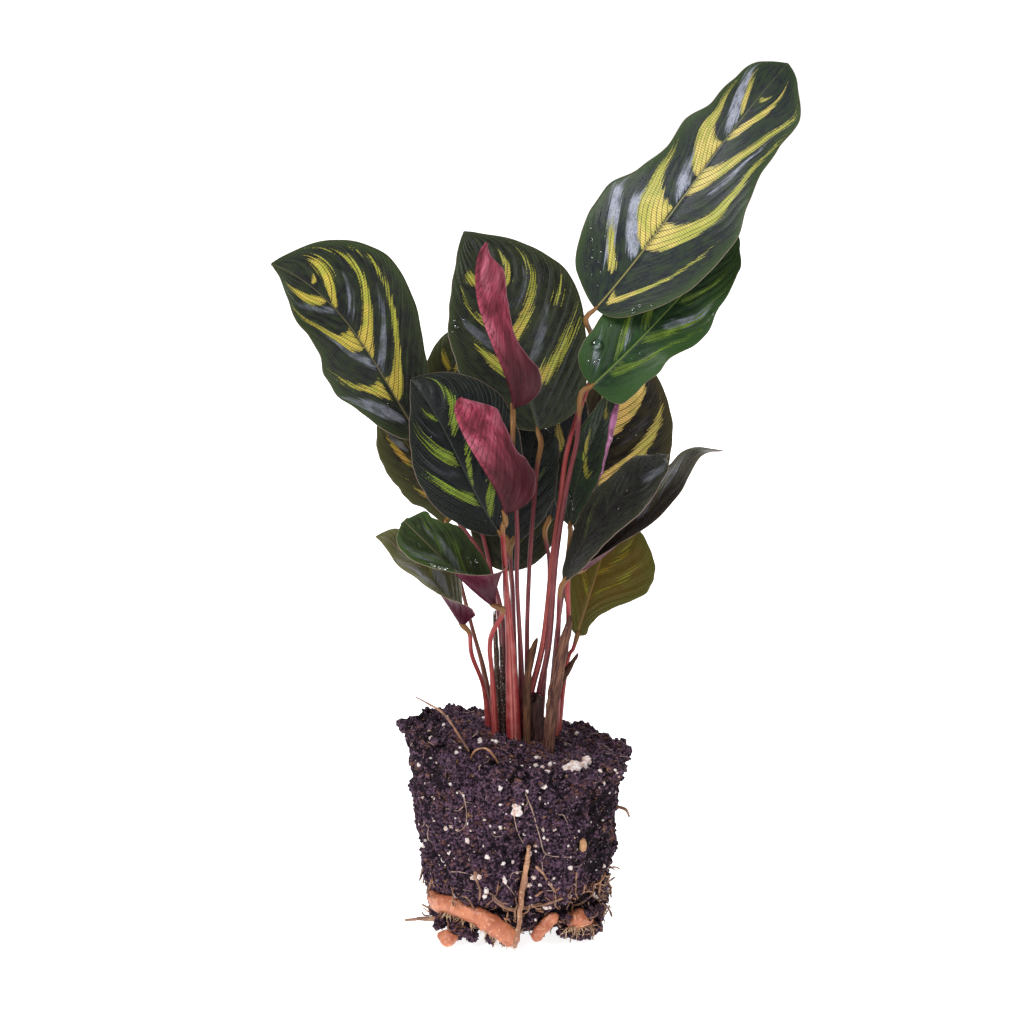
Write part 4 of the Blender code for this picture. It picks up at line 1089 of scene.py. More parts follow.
# flatness across, depth of the wrinkles, unevenness
WITHERED_SHAPES = {
    "dead_stem_left": (0.9, 0.10, 0.22), "dead_stem_right": (0.9, 0.10, 0.22),
    "brown_sheath": (1.0, 0.075, 0.10), "long_sheath": (0.70, 0.14, 0.14), "pointed_scale": (0.62, 0.16, 0.12),
    "dry_sheath": (0.72, 0.18, 0.16),
}
WITHERED_STEPS = 60
WITHERED_SIDES = 36


def lengths_between(points, values, count):
    return np.interp(np.linspace(0, 1, count), stations(points), values)


def rounded_ends(count, share):
    """A factor for the radius that closes a tube with round ends."""
    from_end = np.minimum(np.linspace(0, 1, count), np.linspace(1, 0, count)) / share
    return np.sqrt(1 - (1 - np.clip(from_end, 0.02, 1)) ** 2)


for order, (name, (points, widths)) in enumerate(CROWN.items()):
    flatness, wrinkle, uneven = WITHERED_SHAPES[name]
    path = smooth_path(points, WITHERED_STEPS)
    radii = lengths_between(points, widths, WITHERED_STEPS) * rounded_ends(WITHERED_STEPS, 0.05)
    rings = np.array(tube_rings(path, radii, WITHERED_SIDES))
    around = np.arange(WITHERED_SIDES) / WITHERED_SIDES
    share = np.linspace(0, 1, WITHERED_STEPS)[:, None]
    folds = np.abs(np.sin(pi * (5 * around[None, :] + 0.5 * share + 0.1 * order))) * 2 - 1
    lumps = rough_noise(rings.reshape(-1, 3), 4.0, 3, 40 + order).reshape(folds.shape)
    spread = (rings - path[:, None]) * (1 + wrinkle * folds + uneven * lumps)[..., None]
    spread[..., 1] *= flatness
    torn = np.clip((share - 0.9) / 0.1, 0, 1) * lattice_noise(
        np.stack([around * 9, around * 0, around * 0 + order], -1), 1.0, 7)[None, :] * 2.0
    spread[..., 2] += torn
    thing = add_piece("withered_" + name, (path[:, None] + spread).reshape(-1, 3),
                      tube_faces(WITHERED_STEPS, WITHERED_SIDES), [WITHERED_FINISHES[name]])
    add_values(thing, "stalk_run", tube_values(path, WITHERED_SIDES, around[None, :]))
    hand_over(thing, "withered", name)
print("withered pieces:", len(CROWN))


# %% [markdown]
# ## The root ball
# Potting soil holds the shape of the pot that it came out of: a cone with a rounded skin of crumbs,
# a ragged rim and a loose top. The main surface is the imported part's cone with much finer points,
# pushed out in rounded lumps with sharp creases between them. Each vertex remembers how far it was
# pushed, so that painted shade can darken the creases more than the lumps.

# %% Shape of the soil, in millimetres
BALL_HEIGHT = 95.0
BALL_TOP_RADIUS = 55.5
BALL_BASE_RADIUS = 43.0
BALL_BASE_HEIGHT = 6.0
BALL_BASE_HEIGHT_FRONT = 11.0
TOP_SLOPE = 0.16
FOOT_RADIUS = 22.0
FOOT_Y = 9.0
BUMP = 1.2
MOUND = 3.0
DIMPLE = 0.8
SOIL_SIDES = 340
UNDER_RINGS = 14
SIDE_RINGS = 96
TOP_RINGS = 62


def soil_top(x, y):
    mound = MOUND * np.exp(-(x ** 2 + (y - 8) ** 2) / 500)
    return BALL_HEIGHT - TOP_SLOPE * x + mound + DIMPLE * np.sin(0.31 * x + 1.0) * np.cos(0.27 * y)


def soil_bump(share, turn):
    waves = np.sin(3 * turn + 5 * share + 1) + 0.7 * np.sin(7 * turn - 8 * share - 1)
    return BUMP * (waves + 0.5 * np.sin(11 * turn))


def base_height(turn):
    return BALL_BASE_HEIGHT + (BALL_BASE_HEIGHT_FRONT - BALL_BASE_HEIGHT) * np.maximum(0, -np.sin(turn))


def soil_grid():
    """Rings from the edge of the foot up the side and in to the middle of the top."""
    turn = np.linspace(0, 2 * pi, SOIL_SIDES, endpoint=False)
    rings = []
    for share in np.linspace(0, 1, UNDER_RINGS, endpoint=False):
        radius = FOOT_RADIUS + (BALL_BASE_RADIUS - FOOT_RADIUS) * share
        y = radius * np.sin(turn) + FOOT_Y * (1 - share)
        rings.append((radius * np.cos(turn), y, base_height(turn) * share))
    for share in np.linspace(0, 1, SIDE_RINGS, endpoint=False):
        radius = BALL_BASE_RADIUS + (BALL_TOP_RADIUS - BALL_BASE_RADIUS) * share + soil_bump(share, turn)
        x, y = radius * np.cos(turn), radius * np.sin(turn)
        rings.append((x, y, base_height(turn) + (soil_top(x, y) - base_height(turn)) * share))
    for share in np.linspace(0, 0.985, TOP_RINGS):
        radius = (BALL_TOP_RADIUS + soil_bump(1.0, turn)) * (1 - share)
        x, y = radius * np.cos(turn), radius * np.sin(turn)
        rings.append((x, y, soil_top(x, y)))
    return np.array(rings).transpose(0, 2, 1)


# %% Paths of the roots, in millimetres
ROOTS = {
    "thick_root_left": (((-42, -8, 18), (-38, -22, 18), (-30, -31, 19), (-21, -38, 17),
                         (-9, -43, 11), (1, -44, 4.8)), (3.6, 4.4, 4.7, 4.7, 4.6, 4.2)),
    "thick_root_right": (((8, -42, 4.6), (12, -40, 10), (20, -37, 17)), (3.2, 3.2, 2.6)),
    "front_root": (((6, -49, 56), (4, -46.5, 41), (2, -46.5, 27), (1, -51, 17), (0, -52, 11), (-1, -51.5, 4)),
                   (1.1, 1.6, 1.5, 1.3, 1.1, 1.2)),
    "left_tuber": (((-39, -32, 5), (-34, -36, 4.6), (-29, -37, 5)), (2.6, 4.4, 2.4)),
    "right_tuber": (((24, -34, 12), (30, -31, 12), (37, -26, 11)), (3.6, 5.6, 3.4)),
    "twig_low": (((-38, -12, 6), (-47, -8, 5), (-56, -4, 3)), (1.4, 1.1, 0.6)),
    "twig_high": (((-50, -14, 121), (-43, -18, 118), (-35, -22, 113), (-23, -30, 97)),
                  (0.6, 0.9, 1.0, 1.0)),
    "arched_root": (((-23, -40, 96), (-20, -41, 101), (-14, -43, 102), (-9, -44, 95)),
                    (0.8, 1.0, 1.0, 0.8)),
    "side_rootlet": (((49, -4, 62), (54, -6, 61), (56, -6, 57)), (0.9, 0.8, 0.5)),
}

GRAINS = {
    "perlite_large": ((28, -39, 91), (6.4, 4.4, 4.6), 0.5),
    "perlite_small": ((34, -30, 93), (2.4, 2.2, 1.9), 1.4),
    "perlite_front": ((0, -52, 75), (2.9, 2.6, 4.2), 0.3),
    "root_bud": ((32, -40, 53), (1.7, 1.9, 3.6), 0.9),
}


# %% Lumps and creases
def clods(points, size, seed):
    """Rounded lumps from 0 in the creases up to 1."""
    return np.abs(lattice_noise(points, size, seed)) ** 0.8


grid = soil_grid()
around = np.concatenate([grid, grid[:, :1]], axis=1)
outwards = unit(np.cross(np.gradient(around, axis=1), np.gradient(around, axis=0)))[:, :-1]
flat = grid.reshape(-1, 3)
lift = 2.9 * clods(flat, 8.0, 1) + 2.2 * clods(flat, 4.0, 2) + 1.3 * clods(flat, 2.0, 3)
lift = lift + 1.1 * rough_noise(flat, 16.0, 2, 5) - 2.15
rim_near = np.exp(-((flat[:, 2] - soil_top(flat[:, 0], flat[:, 1])) / 7.0) ** 2)
at_side = ease((np.hypot(flat[:, 0], flat[:, 1]) - 44) / 8)
ragged = lattice_noise(flat, 7.0, 9) + 0.7 * lattice_noise(flat, 3.5, 10)
lift = lift + 2.6 * ragged * rim_near * at_side
above_foot = ease((flat[:, 2] - 0.5) / 4.0)
front_low = ease((-flat[:, 1] - 18) / 20) * ease((flat[:, 2] - 1.0) / 6.0) * ease((27 - flat[:, 2]) / 9)
right_low = ease((flat[:, 0] - 20) / 25) * ease((flat[:, 2] - 8) / 20) * ease((92 - flat[:, 2]) / 25)
left_high = ease((-flat[:, 0] - 26) / 20) * ease((flat[:, 2] - 62) / 22)
lift = lift - 3.4 * front_low - 2.6 * right_low - 3.2 * left_high
for points, widths in ROOTS.values():
    path = smooth_path(points, 40)
    wide = np.interp(np.linspace(0, 1, 40), stations(points), widths)
    for place, radius in zip(path, wide):
        gap = np.linalg.norm(flat - place, axis=1) - radius
        lift = lift - np.clip(2.5 - gap, 0, 2.5) * 0.35 * (lift > -3.5)
for middle, sizes, turn in GRAINS.values():
    gap = np.linalg.norm((flat - np.array(middle)) / (np.array(sizes) + 1.5), axis=1)
    lift = lift - 4.0 * np.clip(1 - gap, 0, 1)
moved = flat + outwards.reshape(-1, 3) * (lift * above_foot)[:, None]
moved[:, 2] = np.maximum(moved[:, 2], flat[:, 2] * (flat[:, 2] < 0.5))
last = len(grid) - 1
soil_faces = [tuple(range(SOIL_SIDES))]
for ring in range(last):
    for i in range(SOIL_SIDES):
        here, there = ring * SOIL_SIDES + i, ring * SOIL_SIDES + (i + 1) % SOIL_SIDES
        soil_faces.append((here, there, there + SOIL_SIDES, here + SOIL_SIDES))
soil_faces.append(tuple(last * SOIL_SIDES + i for i in range(SOIL_SIDES)))

# %% [markdown]
# ## The finish of the soil
# Peat is nearly black, with a purple cast where it is moist and brown where fibres lie open. Fine
# white dust from the perlite is rubbed into it. Two sizes of noise and a few bright flecks make that
# up, and painted shade darkens the creases by their depth. The same finish goes on the loose crumbs.

# %% Node group: peat
peat, tree, given, made = new_group(
    "peat", {"Black": (.010, .006, .010, 1.0), "Light": (.060, .042, .060, 1.0), "Brown": (.085, .042, .026, 1.0)},
    {"Colour": "Color", "Height": "Float"})
spot = tree.node("ShaderNodeTexCoord").outputs["Object"]
grain = tree.noise(spot, 650.0, 4.0, 0.65)
patch = tree.noise(spot, 120.0, 3.0)
fibre = tree.noise(tree.stretch(spot, (500.0, 500.0, 1400.0)), 1.0, 2.0)
colour = tree.mix(tree.step(grain, 0.42, 0.64), given["Black"], given["Light"])
colour = tree.mix(tree.math("MULTIPLY", tree.step(patch, 0.50, 0.66), tree.step(fibre, 0.50, 0.62)),
                  colour, given["Brown"])
tree.feed(made["Colour"], colour)
tree.feed(made["Height"], tree.math("ADD", grain, tree.math("MULTIPLY", fibre, 0.5)))


# %% Soil finishes
def peat_finish(name, black, light, brown, crease_shade_and_flecks):
    finish, tree, shader = new_finish(name, 0.92, Specular_IOR_Level=0.12)
    drawn = use_group(tree, peat, Black=black, Light=light, Brown=brown)
    colour = drawn["Colour"]
    if crease_shade_and_flecks:
        # Painted shade: the creases, where the soil was pushed in, are darkened towards near black.
        lift_value = tree.parts(tree.attribute("soil_lift"))[0]
        colour = tree.mix(tree.step(lift_value, 0.3, -1.4, 0.0, 0.85), colour, (.004, .0025, .004))
        spot = tree.node("ShaderNodeTexCoord").outputs["Object"]
        fleck = tree.step(tree.noise(spot, 900.0, 1.0), 0.735, 0.76)
        colour = tree.mix(fleck, colour, (.42, .36, .33))
    tree.feed(shader.inputs["Base Color"], colour)
    tree.feed(shader.inputs["Roughness"], tree.step(drawn["Height"], 0.3, 1.1, 0.75, 1.0))
    add_bump(tree, shader, drawn["Height"], 0.0015, 1.0)
    return finish


soil_finish = peat_finish("moist peat", (.009, .005, .009), (.125, .068, .115), (.200, .085, .060), True)
crumb_finish = peat_finish("peat crumbs", (.009, .005, .009), (.150, .085, .130), (.230, .105, .065), False)
bark_finish = peat_finish("bark and wood bits", (.060, .026, .014), (.300, .165, .085), (.42, .25, .13), False)

soil_tree = BVHTree.FromPolygons(moved.tolist(), soil_faces)
soil = add_piece("soil", moved, soil_faces, [soil_finish])
add_values(soil, "soil_lift", np.repeat(lift[:, None], 3, axis=1))
hand_over(soil, "soil", "root_ball")
print("soil triangles:", triangles(soil))

# %% [markdown]
# ## Crumbs, bits of bark and fine roots
# Loose crumbs stick to the whole ball. A Geometry Nodes tree spreads points on the soil, puts a
# small lump on each, turns and stretches it by chance and dents it. One tree makes the crumbs, the
# clods of the rim and the bark, with its own sizes for each. A second tree lays short bent threads flat on
# the surface for the finest roots. Both end as plain meshes.


# %% Helpers for Geometry Nodes
def new_tree(name, inputs):
    """A Geometry Nodes tree with named inputs. Returns it with its helper, input and output."""
    kinds = {float: "Float", int: "Int", bool: "Bool"}
    group = bpy.data.node_groups.new(name, "GeometryNodeTree")
    group.interface.new_socket("Surface", in_out="INPUT", socket_type="NodeSocketGeometry")
    for label, value in inputs.items():
        kind = kinds.get(type(value), "Material")
        socket = group.interface.new_socket(label, in_out="INPUT", socket_type="NodeSocket" + kind)
        if kind != "Material":
            socket.default_value = value
    group.interface.new_socket("Made", in_out="OUTPUT", socket_type="NodeSocketGeometry")
    tree = Tree(group)
    return group, tree, tree.node("NodeGroupInput").outputs, tree.node("NodeGroupOutput").inputs


def run_tree(group, surface, name, **values):
    """Runs the tree on a copy of the surface and returns the result as a plain mesh object."""
    carrier = bpy.data.objects.new(name, surface.data.copy())
    bpy.context.scene.collection.objects.link(carrier)
    modifier = carrier.modifiers.new("grow", "NODES")
    modifier.node_group = group
    sockets = {item.name: item.identifier for item in group.interface.items_tree if item.in_out == "INPUT"}
    for label, value in values.items():
        modifier[sockets[label.replace("_", " ")]] = value
    bpy.context.view_layer.update()
    ready = carrier.evaluated_get(bpy.context.evaluated_depsgraph_get())
    mesh = bpy.data.meshes.new_from_object(ready)
    old = carrier.data
    carrier.modifiers.clear()
    carrier.data = mesh
    mesh.name = name
    bpy.data.meshes.remove(old)
    print(name, "triangles:", triangles(carrier))
    return carrier


def random_value(tree, kind, low, high, seed, shift):
    made = tree.node("FunctionNodeRandomValue", data_type=kind)
    first = {"FLOAT": 2, "FLOAT_VECTOR": 0}[kind]
    tree.feed(made.inputs[first], low)
    tree.feed(made.inputs[first + 1], high)
    tree.feed(made.inputs["Seed"], tree.math("ADD", seed, float(shift)))
    return made.outputs[1 if kind == "FLOAT" else 0]


def chosen_points(tree, given):
    """Chance points of the surface between two heights."""
    height = tree.parts(tree.node("GeometryNodeInputPosition").outputs[0])[2]
    wanted = tree.math("MULTIPLY", tree.math("GREATER_THAN", height, given["Lowest"]),
                       tree.math("LESS_THAN", height, given["Highest"]))
    return tree.node("GeometryNodeDistributePointsOnFaces",
                     {"Mesh": given["Surface"], "Selection": wanted, "Density": given["Per Square Metre"],
                      "Seed": given["Seed"]})


# %% Tree: crumbs
crumbs, tree, given, made = new_tree("scatter crumbs", {
    "Per Square Metre": 1000.0, "Smallest": 0.0005, "Largest": 0.002, "Lowest": 0.002, "Highest": 1.0,
    "Rarity": 2.5, "Flatness": 0.7, "Unevenness": 0.5, "Sink": 0.2, "Seed": 1, "Finish": None})
points = chosen_points(tree, given)
chance = random_value(tree, "FLOAT", 0.0, 1.0, given["Seed"], 1)
spread = tree.math("SUBTRACT", given["Largest"], given["Smallest"])
size = tree.math("MULTIPLY_ADD", tree.math("POWER", chance, given["Rarity"]), spread, given["Smallest"])
longer = random_value(tree, "FLOAT_VECTOR", (0.7, 0.7, 0.7), (1.3, 1.3, 1.3), given["Seed"], 2)
flat_scale = tree.node("ShaderNodeCombineXYZ", {0: 1.0, 1: 1.0, 2: given["Flatness"]}).outputs[0]
scale = tree.stretch(tree.stretch(longer, flat_scale), size)
turn = random_value(tree, "FLOAT_VECTOR", (0.0, 0.0, 0.0), (6.3, 6.3, 6.3), given["Seed"], 3)
lump = tree.node("GeometryNodeMeshIcoSphere", {"Radius": 1.0, "Subdivisions": 1}).outputs["Mesh"]
placed = tree.node("GeometryNodeInstanceOnPoints", {
    "Points": points.outputs["Points"], "Instance": lump, "Rotation": turn, "Scale": scale})
real = tree.node("GeometryNodeRealizeInstances", {0: placed.outputs[0]})
spot = tree.node("GeometryNodeInputPosition").outputs[0]
dent = tree.node("ShaderNodeTexNoise", {"Vector": spot, "Scale": 800.0, "Detail": 1.0}).outputs["Color"]
dent = tree.node("ShaderNodeVectorMath", {0: dent, 1: (0.5, 0.5, 0.5)}, operation="SUBTRACT").outputs[0]
reach = tree.math("MULTIPLY", given["Unevenness"], given["Largest"])
moved_by = tree.stretch(dent, reach)
dented = tree.node("GeometryNodeSetPosition", {"Geometry": real.outputs[0], "Offset": moved_by})
finished = tree.node("GeometryNodeSetMaterial", {"Geometry": dented.outputs[0], "Material": given["Finish"]})
tree.feed(made["Made"], finished.outputs[0])

# %% Tree: threads
threads, tree, given, made = new_tree("lay threads", {
    "Per Square Metre": 1000.0, "Shortest": 0.003, "Longest": 0.012, "Thickness": 0.00018,
    "Lowest": 0.002, "Highest": 1.0, "Stand Off": 0.1, "Seed": 1, "Finish": None})
points = chosen_points(tree, given)
line = tree.node("GeometryNodeCurvePrimitiveBezierSegment", {
    "Resolution": 7, "Start": (-0.5, 0.0, -0.08), "Start Handle": (-0.15, 0.24, 0.10),
    "End Handle": (0.2, -0.26, 0.02), "End": (0.5, 0.05, 0.05)})
ring = tree.node("GeometryNodeCurvePrimitiveCircle", {"Resolution": 4, "Radius": 1.0})
middle = tree.math("DIVIDE", tree.math("ADD", given["Shortest"], given["Longest"]), 2.0)
thin = tree.math("DIVIDE", given["Thickness"], middle)
profile = tree.node("GeometryNodeTransform", {"Geometry": ring.outputs[0]})
tree.feed(profile.inputs["Scale"], tree.node("ShaderNodeCombineXYZ", {0: thin, 1: thin, 2: 1.0}).outputs[0])
thread = tree.node("GeometryNodeCurveToMesh", {
    "Curve": line.outputs[0], "Profile Curve": profile.outputs[0], "Fill Caps": True})
facing = tree.node("FunctionNodeAlignRotationToVector", {"Vector": points.outputs["Normal"]}, axis="Z")
spin = random_value(tree, "FLOAT", 0.0, 6.28, given["Seed"], 1)
lean = random_value(tree, "FLOAT", -0.5, 0.5, given["Seed"], 2)
lean = tree.math("MULTIPLY", lean, given["Stand Off"])
own_turn = tree.node("FunctionNodeEulerToRotation", {
    0: tree.node("ShaderNodeCombineXYZ", {0: 0.0, 1: lean, 2: spin}).outputs[0]})
turned = tree.node("FunctionNodeRotateRotation", {0: facing.outputs[0], 1: own_turn.outputs[0]},
                   rotation_space="LOCAL")
size = random_value(tree, "FLOAT", given["Shortest"], given["Longest"], given["Seed"], 3)
placed = tree.node("GeometryNodeInstanceOnPoints", {
    "Points": points.outputs["Points"], "Instance": thread.outputs[0], "Rotation": turned.outputs[0],
    "Scale": size})
real = tree.node("GeometryNodeRealizeInstances", {0: placed.outputs[0]})
spot = tree.node("GeometryNodeInputPosition").outputs[0]
bend = tree.node("ShaderNodeTexNoise", {"Vector": spot, "Scale": 170.0, "Detail": 1.0}).outputs["Color"]
bend = tree.node("ShaderNodeVectorMath", {0: bend, 1: (0.5, 0.5, 0.5)}, operation="SUBTRACT").outputs[0]
bent = tree.node("GeometryNodeSetPosition", {
    "Geometry": real.outputs[0], "Offset": tree.stretch(bend, (0.005, 0.005, 0.005))})
finished = tree.node("GeometryNodeSetMaterial", {"Geometry": bent.outputs[0], "Material": given["Finish"]})
tree.feed(made["Made"], finished.outputs[0])


# %% Finish of the roots
def root_finish(name, skin, light, deep, earth):
    finish, tree, shader = new_finish(name, 0.55, Coat_Weight=0.1, Coat_Roughness=0.35)
    spot = tree.node("ShaderNodeTexCoord").outputs["Object"]
    cloud = tree.noise(spot, 160.0, 3.0)
    scuff = tree.noise(spot, 520.0, 3.0, 0.6)
    colour = tree.mix(tree.step(cloud, 0.36, 0.64), deep, skin)
    colour = tree.mix(tree.step(scuff, 0.52, 0.70, 0.0, 0.7), colour, light)
    soiled = use_group(tree, dusting, Amount=earth, Grain=420.0)["Mask"]
    colour = tree.mix(soiled, colour, EARTH)
    tree.feed(shader.inputs["Base Color"], colour)
    tree.feed(shader.inputs["Roughness"], tree.step(soiled, 0.0, 1.0, 0.5, 0.95))
    add_bump(tree, shader, tree.math("ADD", scuff, tree.math("MULTIPLY", soiled, 1.5)), 0.0006, 0.7)
    return finish


orange_root = root_finish("orange root", (.50, .170, .078), (.70, .34, .20), (.36, .100, .048), 0.13)
tan_root = root_finish("tan root", (.44, .22, .115), (.64, .42, .26), (.24, .100, .05), 0.04)
brown_root = root_finish("brown root", (.28, .135, .075), (.46, .27, .16), (.13, .058, .036), 0.05)
pale_thread = root_finish("pale fine root", (.36, .24, .18), (.52, .38, .29), (.22, .13, .10), 0.02)

# %% Scatter on the soil
crumb_runs = (
    # name, density, smallest, largest, lowest, highest, rarity, flatness, unevenness, seed, finish
    ("crumbs_fine", 90000.0, 0.0004, 0.0013, 0.004, 1.0, 1.5, 0.75, 0.35, 11, crumb_finish),
    ("crumbs_coarse", 42000.0, 0.0008, 0.0021, 0.006, 1.0, 2.0, 0.75, 0.6, 12, crumb_finish),
    ("rim_clods", 9000.0, 0.0014, 0.0036, 0.080, 1.0, 2.2, 0.8, 0.7, 15, crumb_finish),
    ("bark_bits", 5500.0, 0.0004, 0.0016, 0.005, 1.0, 2.5, 0.45, 0.4, 13, bark_finish),
)
for name, density, smallest, largest, lowest, highest, rarity, flatness, uneven, seed, finish in crumb_runs:
    thing = run_tree(crumbs, soil, name, Per_Square_Metre=density, Smallest=smallest, Largest=largest,
                     Lowest=lowest, Highest=highest, Rarity=rarity, Flatness=flatness,
                     Unevenness=uneven, Seed=seed, Finish=finish)
    hand_over(thing, "soil")
thread_runs = (
    # name, density, shortest, longest, thickness, lowest, highest, stand off, seed, finish
    ("fine_roots_pale", 3200.0, 0.004, 0.013, 0.00013, 0.004, 1.0, 0.5, 21, pale_thread),
    ("fine_roots_brown", 14000.0, 0.005, 0.017, 0.00034, 0.003, 0.030, 1.5, 22, brown_root),
    ("fine_roots_tan", 9000.0, 0.004, 0.013, 0.00030, 0.003, 0.032, 1.8, 23, tan_root),
)
for name, density, shortest, longest, thickness, lowest, highest, stand_off, seed, finish in thread_runs:
    thing = run_tree(threads, soil, name, Per_Square_Metre=density, Shortest=shortest, Longest=longest,
                     Thickness=thickness, Lowest=lowest, Highest=highest, Stand_Off=stand_off,
                     Seed=seed, Finish=finish)
    hand_over(thing, "root")

# %% [markdown]
# ## The thick roots
# Two fleshy orange roots run under the front edge and meet in the middle, with pale swollen tubers
# beside them, one long woody root up the front and thin twigs. They are tubes with a bumpy skin
# and round ends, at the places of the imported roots, and further rootlets lie flat on the soil.

# %% Paths of the rootlets, in millimetres
# Rootlets that lie on the front of the soil: radius, then points.
ROOTLETS = (
    (0.30, ((-28.9, -45.6, 82.2), (-25.7, -47.2, 78.7), (-25.0, -45.6, 65.2), (-31.8, -40.0, 58.5))),
    (0.34, ((3.6, -54.2, 83.6), (7.4, -53.0, 74.2), (10.6, -50.6, 61.2), (13.3, -48.6, 51.7),
            (17.1, -47.0, 49.5), (26.3, -42.0, 47.4))),
    (0.28, ((-1.7, -53.2, 73.2), (0.5, -51.8, 62.7), (3.1, -50.6, 56.9))),
    (0.34, ((-33.1, -35.0, 37.9), (-27.9, -39.6, 39.2), (-21.6, -43.0, 38.8), (-19.5, -43.6, 35.6))),
    (0.32, ((-6.5, -47.6, 36.9), (-3.4, -47.6, 33.1), (-0.1, -47.0, 28.2))),
    (0.42, ((-16.3, -43.0, 21.8), (-10.8, -46.0, 28.3), (-8.7, -47.0, 36.8))),
    (0.85, ((9.0, -47.4, 44.5), (12.2, -47.2, 41.2), (15.6, -45.4, 35.4), (19.3, -42.8, 29.7))),
    (0.55, ((29.1, -38.4, 38.4), (28.6, -37.0, 28.9), (30.3, -34.6, 23.6))),
    (1.00, ((-12.0, -45.0, 28.5), (-8.7, -45.6, 25.1), (-2.2, -46.4, 22.4), (6.3, -46.0, 23.4),
            (15.0, -43.8, 24.4), (22.6, -40.4, 26.1))),
    (0.90, ((-20.5, -44.0, 41.1), (-19.5, -43.8, 36.0), (-17.9, -43.8, 31.1), (-18.4, -42.6, 24.4))),
    (0.80, ((42.0, -22.8, 34.0), (40.6, -22.4, 24.9), (40.6, -12.8, 13.4))),
    (0.50, ((36.0, -27.0, 24.0), (40.5, -22.0, 19.0), (43.0, -14.0, 20.0))),
)
BROWN_ROOTS = ("twig_low", "twig_high", "side_rootlet")
TAN_ROOTS = ("front_root", "arched_root")
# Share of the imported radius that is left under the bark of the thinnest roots.
LEAN_ROOTS = {"twig_high": 0.62, "arched_root": 0.62, "front_root": 0.85}


# %% Grow the roots
ROOT_SIDES = 22


def on_skin(point, off):
    """Where the camera sees the soil in the direction of the point, `off` millimetres nearer."""
    ray = Vector(point) - CAMERA_PLACE
    ray.normalize()
    hit = soil_tree.ray_cast(CAMERA_PLACE, ray)[0]
    return tuple((hit if hit is not None else Vector(point)) - ray * off)


def grow_root(name, points, widths, finish, seed, knobs=0.16, steps=70, sides=ROOT_SIDES):
    path = smooth_path(points, steps)
    length = path_lengths(path)[-1]
    radii = lengths_between(points, widths, steps)
    radii = radii * rounded_ends(steps, min(0.4, max(widths) / length))
    path = path + 0.25 * np.stack([lattice_noise(path, 6.0, seed + i) for i in range(3)], -1)
    rings = np.array(tube_rings(path, radii, sides))
    lumps = rough_noise(rings.reshape(-1, 3), 3.5, 3, seed).reshape(steps, sides)
    rings = path[:, None] + (rings - path[:, None]) * (1 + knobs * lumps)[..., None]
    return add_piece("fine_" + name, rings.reshape(-1, 3), tube_faces(steps, sides), [finish])


for order, (name, (points, widths)) in enumerate(ROOTS.items()):
    finish = brown_root if name in BROWN_ROOTS else tan_root if name in TAN_ROOTS else orange_root
    lean = [width * LEAN_ROOTS.get(name, 1.0) for width in widths]
    root = grow_root(name, points, lean, finish, 60 + order, 0.34 if name in LEAN_ROOTS else 0.16)
    hand_over(root, "root", name)
for order, (radius, points) in enumerate(ROOTLETS):
    finish = pale_thread if radius < 0.4 else brown_root
    lying = [on_skin(point, radius * 0.5 + 0.5) for point in smooth_path(points, 14)]
    widths = list(np.linspace(radius, radius * 0.55, len(lying)))
    hand_over(grow_root("rootlet_%d" % order, lying, widths, finish, 90 + order, 0.2, 44, 8), "root")
print("roots:", len(ROOTS), "rootlets:", len(ROOTLETS))


# %% A lump
def pebble(middle, sizes, turn, cuts, seed, rough=0.16):
    """A cube rounded to a lump, with `cuts` squares along each edge."""
    shape = bmesh.new()
    bmesh.ops.create_cube(shape, size=2.0)
    bmesh.ops.subdivide_edges(shape, edges=shape.edges, cuts=cuts - 1, use_grid_fill=True)
    points = unit(np.array([vertex.co for vertex in shape.verts]))
    faces = [tuple(vertex.index for vertex in face.verts) for face in shape.faces]
    shape.free()
    lumps = rough_noise(points * 3.0 + seed * 7.7, 1.6, 3, seed)
    points = points * (1 + rough * lumps)[:, None] * np.array(sizes)
    x = points[:, 0] * cos(turn) - points[:, 1] * sin(turn)
    y = points[:, 0] * sin(turn) + points[:, 1] * cos(turn)
    return np.stack([x, y, points[:, 2]], -1) + np.array(middle), faces


# %% Clumps of soil between the roots under the ball, in millimetres
CLUMPS = (
    # middle, half sizes, turn
    ((-29, -33, 7.0), (5.5, 3.6, 3.6), 0.3), ((-22, -36, 6.0), (4.6, 3.0, 3.0), 1.2),
    ((-38, -26, 9.0), (3.4, 3.2, 3.8), 0.7), ((-13, -38, 5.0), (3.6, 2.4, 2.4), 2.0),
    ((24, -30, 6.5), (4.2, 3.0, 3.4), 0.4), ((33, -29, 6.0), (4.6, 3.6, 3.8), 1.9),
    ((38, -24, 6.5), (3.8, 3.4, 4.2), 0.9), ((30, -33, 4.4), (3.0, 2.6, 2.6), 2.6),
    ((40, -22, 12.0), (3.6, 3.0, 4.2), 1.4), ((36, -30, 15.0), (3.4, 2.6, 3.0), 0.2),
    ((24, -37, 14.0), (2.8, 2.0, 2.4), 1.1), ((-6, -40, 4.0), (2.4, 2.0, 1.8), 0.5),
)
vertices, faces = [], []
for order, (middle, sizes, turn) in enumerate(CLUMPS):
    points, more = pebble(middle, sizes, turn, 18, 70 + order, 0.55)
    points[:, 2] = np.maximum(points[:, 2], 0.3)
    faces += [tuple(len(vertices) + i for i in face) for face in more]
    vertices += list(points)
clumps = add_piece("soil_clumps", vertices, faces, [crumb_finish])
hand_over(clumps, "soil")
crumbs_on_clumps = run_tree(crumbs, clumps, "crumbs_low", Per_Square_Metre=90000.0, Smallest=0.0004,
                            Largest=0.0013, Lowest=0.001, Rarity=1.5, Flatness=0.75, Unevenness=0.5,
                            Seed=16, Finish=crumb_finish)
